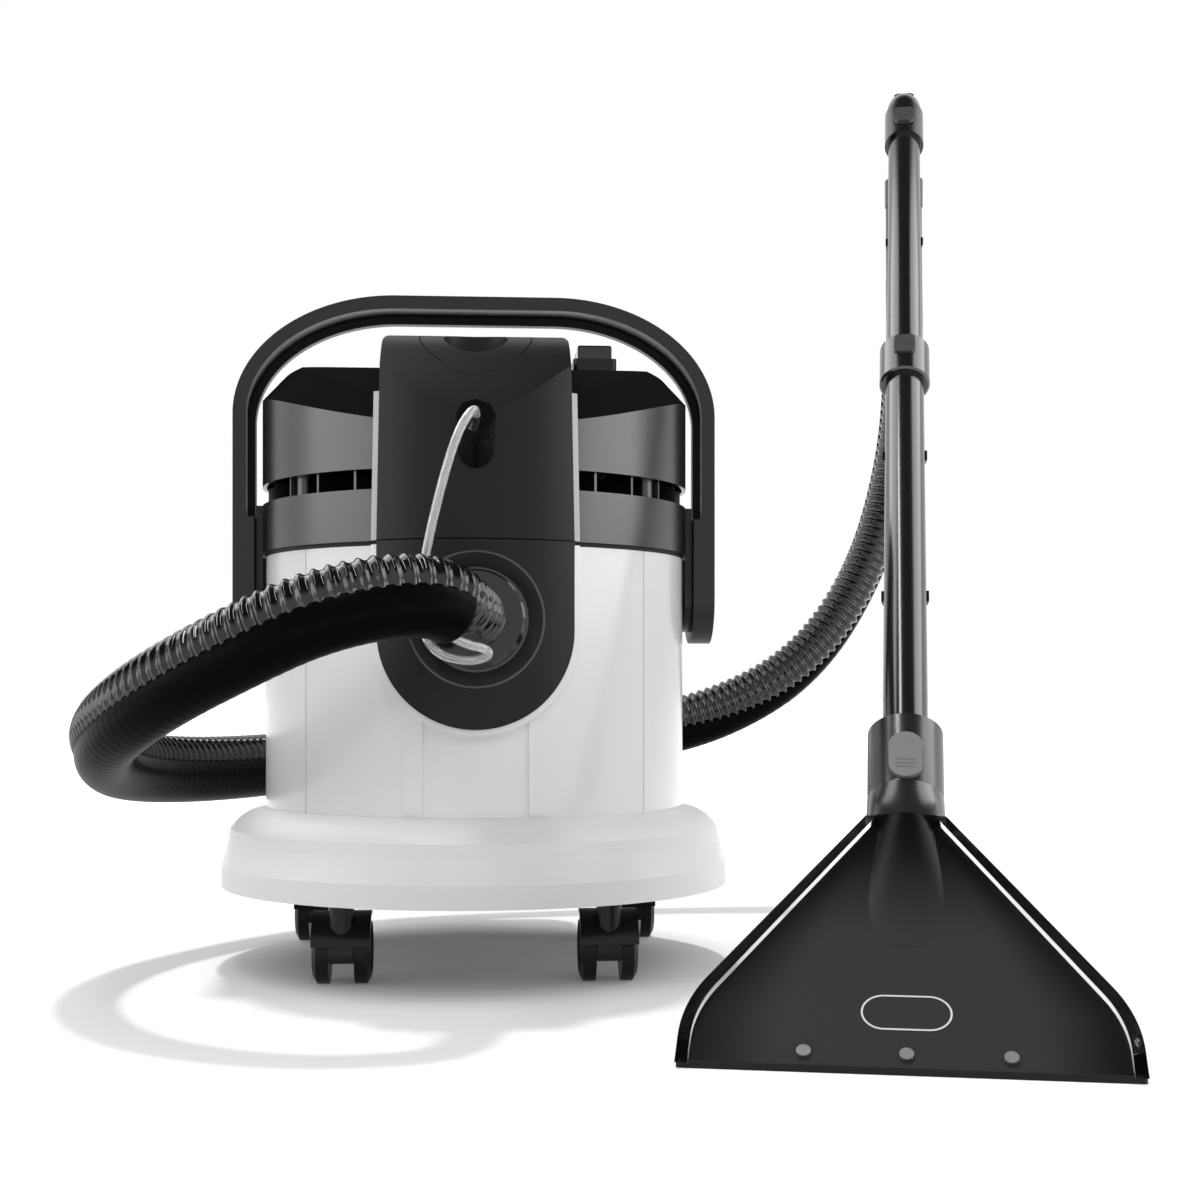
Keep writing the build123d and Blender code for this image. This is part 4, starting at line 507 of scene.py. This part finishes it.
def badge_outline():
    outer, inner = (0, BADGE_SINK, BADGE_RISE), (BADGE_LINE, BADGE_RISE, BADGE_SINK)
    rings = []
    for shrink, *levels in (outer, inner):
        ring = stadium(BADGE_HALF - shrink, BADGE_TALL - shrink)
        for out in levels:
            rings.append([on_hood(u, BADGE_V + v, out) for u, v in ring])
    verts = [point for ring in rings for point in ring]
    total = len(verts)
    faces = [tuple(i % total for i in face) for face in skin(rings + [rings[0]])]
    piece = mesh_object("badge_outline", verts, faces, smooth=False)
    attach(piece, "machine")
    return piece


badge = badge_outline()


# Finger ribs on the lower half of each push latch of the wand
RIB_BARS = 3
RIB_BAR_R = 0.0007
RIB_BAR_SINK = 0.0003
RIB_BAR_STEP = 0.0030
RIB_BAR_ARC = 8
wand_out = wand_across.cross(wand_axis)


def finger_ribs(name, node, half, first):
    """Three low half-round bars across a latch, the lowest this far along from its middle."""
    reach = [vertex.co.dot(wand_out) for vertex in nodes[node].data.vertices]
    low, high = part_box(node)
    middle = (Vector(low) + Vector(high)) / 2
    face = middle + wand_out * (max(reach) - RIB_BAR_SINK - middle.dot(wand_out))
    verts, faces = [], []
    for bar in range(RIB_BARS):
        centre = face + wand_axis * (first + bar * RIB_BAR_STEP)
        start = len(verts)
        ends = []
        for end in (-half, half):
            ring = []
            for turn in spaced(0, math.pi, RIB_BAR_ARC):
                along, out = RIB_BAR_R * math.cos(turn), RIB_BAR_R * math.sin(turn)
                ring.append(centre + wand_across * end + wand_axis * along + wand_out * out)
            ends.append(ring)
        verts.extend(ends[0] + ends[1])
        count = len(ends[0])
        faces.extend(skin(ends, start=start))
        faces.append(tuple(start + c for c in reversed(range(count))))
        faces.append(tuple(start + count + c for c in range(count)))
    piece = mesh_object(name, verts, faces, smooth=False)
    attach(piece, node)
    return piece


nozzle_ribs = finger_ribs("nozzle_latch_ribs", "nozzle_latch", 0.0062, -0.0100)
mid_ribs = finger_ribs("mid_latch_ribs", "mid_latch", 0.0040, -0.0030)
top_ribs = finger_ribs("top_latch_ribs", "top_latch", 0.0035, -0.0030)


# Materials
GREY_BLUE = 1.02
FINE_GRAIN = 1500
TONE_SCALE = 7.0
TONE_DETAIL = 4.0
GLOSS_SPREAD = 0.12
COAT_ROUGH = 0.06
GRAIN_SCALE = 900.0
GRAIN_DETAIL = 2.0
GRAIN_DEPTH = 0.0006
CLEAR_SCALE = 40.0
CLEAR_SPREAD = 0.4
SHEEN_FROM = 0.2
SHEEN_TO = 0.6


def grey(value):
    """A grey with a trace of blue."""
    return (value, value, value * GREY_BLUE)


def material(name):
    mat = bpy.data.materials.new(name)
    mat.use_nodes = True
    tree = mat.node_tree
    return mat, tree, tree.nodes["Principled BSDF"]


def noise(tree, scale, detail):
    """A noise texture in object space."""
    where = tree.nodes.new("ShaderNodeTexCoord")
    cloud = tree.nodes.new("ShaderNodeTexNoise")
    cloud.inputs["Scale"].default_value = scale
    cloud.inputs["Detail"].default_value = detail
    tree.links.new(where.outputs["Object"], cloud.inputs["Vector"])
    return cloud.outputs["Fac"]


def ranged(tree, value, low, high):
    """A value spread over a new range."""
    spread = tree.nodes.new("ShaderNodeMapRange")
    spread.inputs["To Min"].default_value = low
    spread.inputs["To Max"].default_value = high
    tree.links.new(value, spread.inputs["Value"])
    return spread.outputs["Result"]


def ramp(tree, value, *stops):
    """A soft ramp of greys over a value: each stop has its place and its colour."""
    blend = tree.nodes.new("ShaderNodeValToRGB")
    blend.color_ramp.interpolation = "EASE"
    elements = blend.color_ramp.elements
    while len(elements) < len(stops):
        elements.new(1.0)
    for element, (place, color) in zip(elements, stops):
        element.position = place
        element.color = (*color, 1)
    tree.links.new(value, blend.inputs["Fac"])
    return blend.outputs["Color"]


def plastic(name, color, rough, grain=0.0, grain_scale=GRAIN_SCALE, vary=0.06, coat=0.0, spec=0.5):
    """Moulded plastic: slight tone and gloss variation, and a fine grain where it is textured."""
    mat, tree, shader = material(name)
    links = tree.links
    cloud = noise(tree, TONE_SCALE, TONE_DETAIL)
    tone = tree.nodes.new("ShaderNodeValToRGB")
    tone.color_ramp.elements[0].color = (*[max(0.0, c * (1 - vary)) for c in color], 1)
    tone.color_ramp.elements[1].color = (*[min(1.0, c * (1 + vary)) for c in color], 1)
    links.new(cloud, tone.inputs["Fac"])
    links.new(tone.outputs["Color"], shader.inputs["Base Color"])
    low, high = rough * (1 - GLOSS_SPREAD), min(1.0, rough * (1 + GLOSS_SPREAD))
    links.new(ranged(tree, cloud, low, high), shader.inputs["Roughness"])
    shader.inputs["Specular IOR Level"].default_value = spec
    shader.inputs["Coat Weight"].default_value = coat
    shader.inputs["Coat Roughness"].default_value = COAT_ROUGH
    if grain:
        bump = tree.nodes.new("ShaderNodeBump")
        bump.inputs["Strength"].default_value = grain
        bump.inputs["Distance"].default_value = GRAIN_DEPTH
        links.new(noise(tree, grain_scale, GRAIN_DETAIL), bump.inputs["Height"])
        links.new(bump.outputs["Normal"], shader.inputs["Normal"])
    return mat


def clear(name, color, rough, ior, solid):
    """Clear plastic, solid to this share, with slightly uneven gloss."""
    mat, tree, shader = material(name)
    shader.inputs["Base Color"].default_value = (*color, 1)
    shader.inputs["Transmission Weight"].default_value = 1.0 - solid
    shader.inputs["IOR"].default_value = ior
    cloud = noise(tree, CLEAR_SCALE, GRAIN_DETAIL)
    gloss = ranged(tree, cloud, rough * (1 - CLEAR_SPREAD), rough * (1 + CLEAR_SPREAD))
    tree.links.new(gloss, shader.inputs["Roughness"])
    return mat


def height_fade(tree, coordinate, span, values):
    """A soft step from one value to another as a coordinate's z runs through its span."""
    where = tree.nodes.new("ShaderNodeTexCoord")
    parts = tree.nodes.new("ShaderNodeSeparateXYZ")
    tree.links.new(where.outputs[coordinate], parts.inputs["Vector"])
    fade = tree.nodes.new("ShaderNodeMapRange")
    fade.interpolation_type = "SMOOTHSTEP"
    fade.inputs["From Min"].default_value, fade.inputs["From Max"].default_value = span
    fade.inputs["To Min"].default_value, fade.inputs["To Max"].default_value = values
    tree.links.new(parts.outputs["Z"], fade.inputs["Value"])
    return fade.outputs["Result"]


def matt_top(mat, spec):
    """Takes the sheen off the faces of this plastic that look up."""
    tree = mat.node_tree
    shader = tree.nodes["Principled BSDF"]
    sheen = height_fade(tree, "Normal", (SHEEN_FROM, SHEEN_TO), (spec, 0.0))
    tree.links.new(sheen, shader.inputs["Specular IOR Level"])


def metal(name, color, rough):
    mat = plastic(name, color, rough, vary=0.1)
    mat.node_tree.nodes["Principled BSDF"].inputs["Metallic"].default_value = 1.0
    return mat


def computed(tree, operation, *values):
    """A math node on numbers and sockets."""
    step = tree.nodes.new("ShaderNodeMath")
    step.operation = operation
    for place, value in zip(step.inputs, values):
        if isinstance(value, (int, float)):
            place.default_value = value
        else:
            tree.links.new(value, place)
    return step.outputs["Value"]


def reach_along(tree, direction):
    """How far a point lies from the wand's mouth along this direction, in metres."""
    where = tree.nodes.new("ShaderNodeTexCoord")
    product = tree.nodes.new("ShaderNodeVectorMath")
    product.operation = "DOT_PRODUCT"
    product.inputs[1].default_value = direction
    tree.links.new(where.outputs["Object"], product.inputs[0])
    return computed(tree, "SUBTRACT", product.outputs["Value"], at(*MOUTH).dot(direction))


FAN_HALF = 0.119
FAN_KNEE = 0.040
FAN_TAPER = 0.631
FAN_TOP = 0.200
FAN_NECK = 0.012


def hood_smoke(name):
    """Smoked plastic, with painted shade that darkens it towards the fan's edges and towards its
    neck.
    """
    mat = plastic(name, grey(0.05), 0.30, grain=0.03, spec=0.08)
    tree = mat.node_tree
    shader = tree.nodes["Principled BSDF"]
    up = reach_along(tree, hood_up)
    across = computed(tree, "ABSOLUTE", reach_along(tree, wand_across))
    past_knee = computed(tree, "MAXIMUM", computed(tree, "SUBTRACT", up, FAN_KNEE), 0.0)
    half = computed(tree, "SUBTRACT", FAN_HALF, computed(tree, "MULTIPLY", past_knee, FAN_TAPER))
    share = computed(tree, "DIVIDE", across, computed(tree, "MAXIMUM", half, FAN_NECK))
    # Painted shade: the smoke's grey darkens towards the fan's edges.
    edge = ramp(tree, share, (0.55, grey(0.026)), (1.0, grey(0.006)))
    height = computed(tree, "DIVIDE", up, FAN_TOP)
    # Painted shade: the colour darkens towards the neck at the top of the hood.
    fade = ramp(tree, height, (0.45, (1, 1, 1)), (0.95, (0.10, 0.10, 0.10)))
    tint_and_shade = tree.nodes.new("ShaderNodeMix")
    tint_and_shade.data_type = "RGBA"
    tint_and_shade.blend_type = "MULTIPLY"
    tint_and_shade.inputs["Factor"].default_value = 1.0
    tree.links.new(edge, tint_and_shade.inputs[6])
    tree.links.new(fade, tint_and_shade.inputs[7])
    tree.links.new(tint_and_shade.outputs[2], shader.inputs["Base Color"])
    return mat


white = plastic("white_gloss", grey(0.78), 0.22, vary=0.01, coat=0.15)
white_satin = plastic("white_satin", grey(0.78), 0.40, grain=0.03, vary=0.01)
dark = plastic(
    "dark_textured", grey(0.005), 0.40, grain=0.10, grain_scale=FINE_GRAIN, vary=0.1, spec=0.20
)
head_satin = plastic(
    "head_satin", grey(0.006), 0.28, grain=0.08, grain_scale=FINE_GRAIN, vary=0.1
)
matt_top(head_satin, 0.75)
bezel_grey = plastic("bezel_grey", grey(0.05), 0.30, grain=0.05, spec=0.5)
dark_smooth = plastic("dark_satin", grey(0.005), 0.26, grain=0.04, vary=0.1, spec=0.26)
trim = plastic("trim_grey", grey(0.46), 0.40, grain=0.05)
handle_mat = plastic(
    "handle_satin", grey(0.012), 0.40, grain=0.06, grain_scale=1800, vary=0.08, spec=0.3
)
black = plastic("black_gloss", grey(0.002), 0.09, vary=0.1, spec=0.55)
sheath = plastic("sheath_black", grey(0.002), 0.34, vary=0.12, spec=0.02)
tyre = plastic("wheel_black", grey(0.006), 0.42, grain=0.1, spec=0.2)
caster = plastic("caster_black", grey(0.005), 0.26, spec=0.25)
tube = plastic("tube_satin", grey(0.004), 0.18, grain=0.02, vary=0.08, spec=1.0)
neck = plastic("neck_satin", grey(0.008), 0.24, grain=0.03, vary=0.08, spec=1.0)
latch_dark = plastic("latch_dark", grey(0.05), 0.36, grain=0.06, spec=0.4)
smoked_and_shaded = hood_smoke("hood_smoke")
latch_grey = plastic("latch_grey", grey(0.16), 0.38, grain=0.08)
clear_rim = clear("clear_rim", (0.95, 0.95, 0.95), 0.05, 1.45, 0.0)
clear_tube = clear("clear_tube", (0.96, 0.97, 0.97), 0.06, 1.42, 0.12)
rubber = plastic("seal_rubber", grey(0.010), 0.55, grain=0.1, spec=0.2)
steel = metal("bright_steel", grey(0.34), 0.50)
alloy = metal("plain_alloy", grey(0.45), 0.45)
inner = plastic("inner_grey", grey(0.5), 0.45, grain=0.05)
foam = plastic("filter_foam", grey(0.08), 0.9, grain=0.9, grain_scale=420)

paint = {
    white: ["container"],
    white_satin: ["base_tray"],
    dark: ["panel_lower", "panel_upper", "latch_cover"],
    head_satin: ["head_ring", "head_housing"],
    bezel_grey: ["port_bezel"],
    dark_smooth: [
        "spray_socket", "handle_brackets", "cable_gland", "switch_base", "trigger_lock"
    ],
    trim: ["panel_trims"],
    handle_mat: ["carry_handle", "handle_caps"],
    black: ["port_collar", "suction_switch", "spray_switch", "tank_latch", "spray_plug"],
    caster: [name for name in nodes if name.startswith("caster_fork")],
    tyre: [name for name in nodes if name.startswith("caster_wheels")],
    tube: ["lower_tube", "upper_tube", "mid_socket", "wand_handle", "spray_trigger", "pipe_clips"],
    neck: ["nozzle_neck"],
    latch_dark: ["mid_latch", "top_latch"],
    smoked_and_shaded: ["nozzle_cover", "nozzle_back"],
    latch_grey: ["nozzle_latch"],
    clear_rim: ["nozzle_rim"],
    rubber: ["head_seal", "nozzle_lip", "water_pipe", "pump_lines"],
    steel: ["screws", "spray_jet"],
    alloy: ["motor", "impeller", "pump"],
    inner: ["fan_chamber", "float_cage", "float_ball", "fresh_tank"],
    foam: ["motor_filter"],
}
for mat, names in paint.items():
    for name in names:
        nodes[name].data.materials.clear()
        nodes[name].data.materials.append(mat)
paint_pieces = (
    (handle, handle_mat),
    (nozzle_ribs, latch_grey),
    (mid_ribs, latch_dark),
    (top_ribs, latch_dark),
    (hose, black),
    (sleeve, sheath),
    (spray_tube, clear_tube),
    (badge, trim),
)
for piece, mat in paint_pieces:
    piece.data.materials.append(mat)

# Small rounds on the moulded edges, so that they catch the light
SOFT_NODES = ("hose", "hose_sleeve", "spray_tube", "float_ball")
EDGE_ROUND = 0.0007
EDGE_STEPS = 2
EDGE_ANGLE = math.radians(40)
for name, piece in nodes.items():
    if name not in SOFT_NODES:
        bevel = piece.modifiers.new("edge", "BEVEL")
        bevel.width = EDGE_ROUND
        bevel.segments = EDGE_STEPS
        bevel.limit_method = "ANGLE"
        bevel.angle_limit = EDGE_ANGLE

# Floor and world: white to the eye and in reflections, with a plain level of light.
# The floor's glow runs from the machine outwards, as pairs of distance and strength: kept low
# right round the machine, it paints a darker shadow under the base, and further out it makes the
# floor white.
# Overhead the world is dark, which gives the tubes the dark middle of the photograph.
FLOOR_SIZE = 40
FLOOR_COLOR = 0.42
FLOOR_ROUGH = 0.9
FLOOR_SPEC = 0.1
FLOOR_GLOW_AND_SHADE = ((0.12, 0.06), (0.24, 0.34), (0.60, 0.39), (1.30, 1.0))
FLOOR_REACH = 2.0
WORLD_LIGHT = 0.30
CEILING_FROM = 0.60
CEILING_TO = 0.86
CEILING_DARK = 0.06


def seen_directly(tree):
    """1 on rays from the eye, and on those by way of gloss or clear plastic."""
    path = tree.nodes.new("ShaderNodeLightPath")
    value = path.outputs["Is Camera Ray"]
    for other in ("Is Glossy Ray", "Is Transmission Ray"):
        value = computed(tree, "MAXIMUM", value, path.outputs[other])
    return value


def make_floor():
    bpy.ops.mesh.primitive_plane_add(size=FLOOR_SIZE, location=at(0, 0, 0))
    floor = bpy.context.object
    floor.name = "floor"
    mat, tree, shader = material("floor_white")
    shader.inputs["Base Color"].default_value = (FLOOR_COLOR, FLOOR_COLOR, FLOOR_COLOR, 1)
    shader.inputs["Roughness"].default_value = FLOOR_ROUGH
    shader.inputs["Specular IOR Level"].default_value = FLOOR_SPEC
    shader.inputs["Emission Color"].default_value = (1, 1, 1, 1)
    where = tree.nodes.new("ShaderNodeTexCoord")
    away = tree.nodes.new("ShaderNodeVectorMath")
    away.operation = "LENGTH"
    tree.links.new(where.outputs["Object"], away.inputs[0])
    share = computed(tree, "DIVIDE", away.outputs["Value"], FLOOR_REACH)
    stops = [(reach / FLOOR_REACH, (value, value, value)) for reach, value in FLOOR_GLOW_AND_SHADE]
    # The low glow next to the machine is painted shadow under it.
    glow_and_shade = computed(tree, "MULTIPLY", seen_directly(tree), ramp(tree, share, *stops))
    tree.links.new(glow_and_shade, shader.inputs["Emission Strength"])
    floor.data.materials.append(mat)


def make_world():
    world = bpy.data.worlds.new("world")
    scene.world = world
    world.use_nodes = True
    tree = world.node_tree
    lit = tree.nodes["Background"]
    lit.inputs["Color"].default_value = (1, 1, 1, 1)
    lit.inputs["Strength"].default_value = WORLD_LIGHT
    seen = tree.nodes.new("ShaderNodeBackground")
    seen.inputs["Color"].default_value = (1, 1, 1, 1)
    ceiling = height_fade(tree, "Generated", (CEILING_FROM, CEILING_TO), (1.0, CEILING_DARK))
    tree.links.new(ceiling, seen.inputs["Strength"])
    mix = tree.nodes.new("ShaderNodeMixShader")
    tree.links.new(seen_directly(tree), mix.inputs["Fac"])
    tree.links.new(lit.outputs["Background"], mix.inputs[1])
    tree.links.new(seen.outputs["Background"], mix.inputs[2])
    tree.links.new(mix.outputs["Shader"], tree.nodes["World Output"].inputs["Surface"])


# Soft boxes: name, place, aim, width, height, power and the direction of the width
LEVEL = (1, 0, 0)
DEEP = (0, 1, 0)
WAND_MIDDLE = (0.21, 0.03, 0.33)
SOFT_BOXES = (
    ("box_left", (-2.0, -0.6, 0.7), (-0.1, 0, 0.35), 1.8, 0.7, 10, DEEP),
    ("box_right", (2.0, -0.6, 0.7), (0.1, 0, 0.35), 1.8, 0.7, 12, DEEP),
    ("high_left", (-0.99, 0.84, 1.71), WAND_MIDDLE, 1.4, 1.2, 13, (-0.11, 0.57, -0.43)),
    ("high_right", (1.63, 0.20, 1.72), WAND_MIDDLE, 1.4, 1.2, 13, (0.36, 0.45, -0.43)),
    ("strip_top", (-0.55, -0.5, 2.0), (-0.3, -0.3, 0.25), 0.16, 1.6, 10, LEVEL),
)
FILL_BOX = ("fill_front", (0.3, -2.4, 1.2), (0, 0, 0.25), 1.6, 1.0, 13, LEVEL)
SUN_FROM = (0, 0.60, 2.0)
SUN_POWER = 3.1
SUN_ANGLE = math.radians(4)


def aimed(name, data, place, aim, along):
    """A lamp at a place, looking at its aim, with its width along this direction."""
    lamp = bpy.data.objects.new(name, data)
    scene.collection.objects.link(lamp)
    back = (Vector(place) - Vector(aim)).normalized()
    wide = Vector(along)
    wide = (wide - back * wide.dot(back)).normalized()
    lamp.matrix_world = Matrix((wide, back.cross(wide), back)).transposed().to_4x4()
    lamp.location = place
    return lamp


def soft_box(name, place, aim, width, height, power, along):
    data = bpy.data.lights.new(name, "AREA")
    data.shape = "RECTANGLE"
    data.size = width
    data.size_y = height
    data.energy = power
    return aimed(name, data, place, aim, along)


def make_lights():
    for box in SOFT_BOXES:
        soft_box(*box)
    fill = soft_box(*FILL_BOX)
    fill.visible_glossy = False
    data = bpy.data.lights.new("sun", "SUN")
    data.energy = SUN_POWER
    data.angle = SUN_ANGLE
    sun = aimed("sun", data, SUN_FROM, (0, 0, 0), LEVEL)
    sun.visible_glossy = False


make_floor()
make_world()
make_lights()
scene.view_settings.view_transform = "Standard"
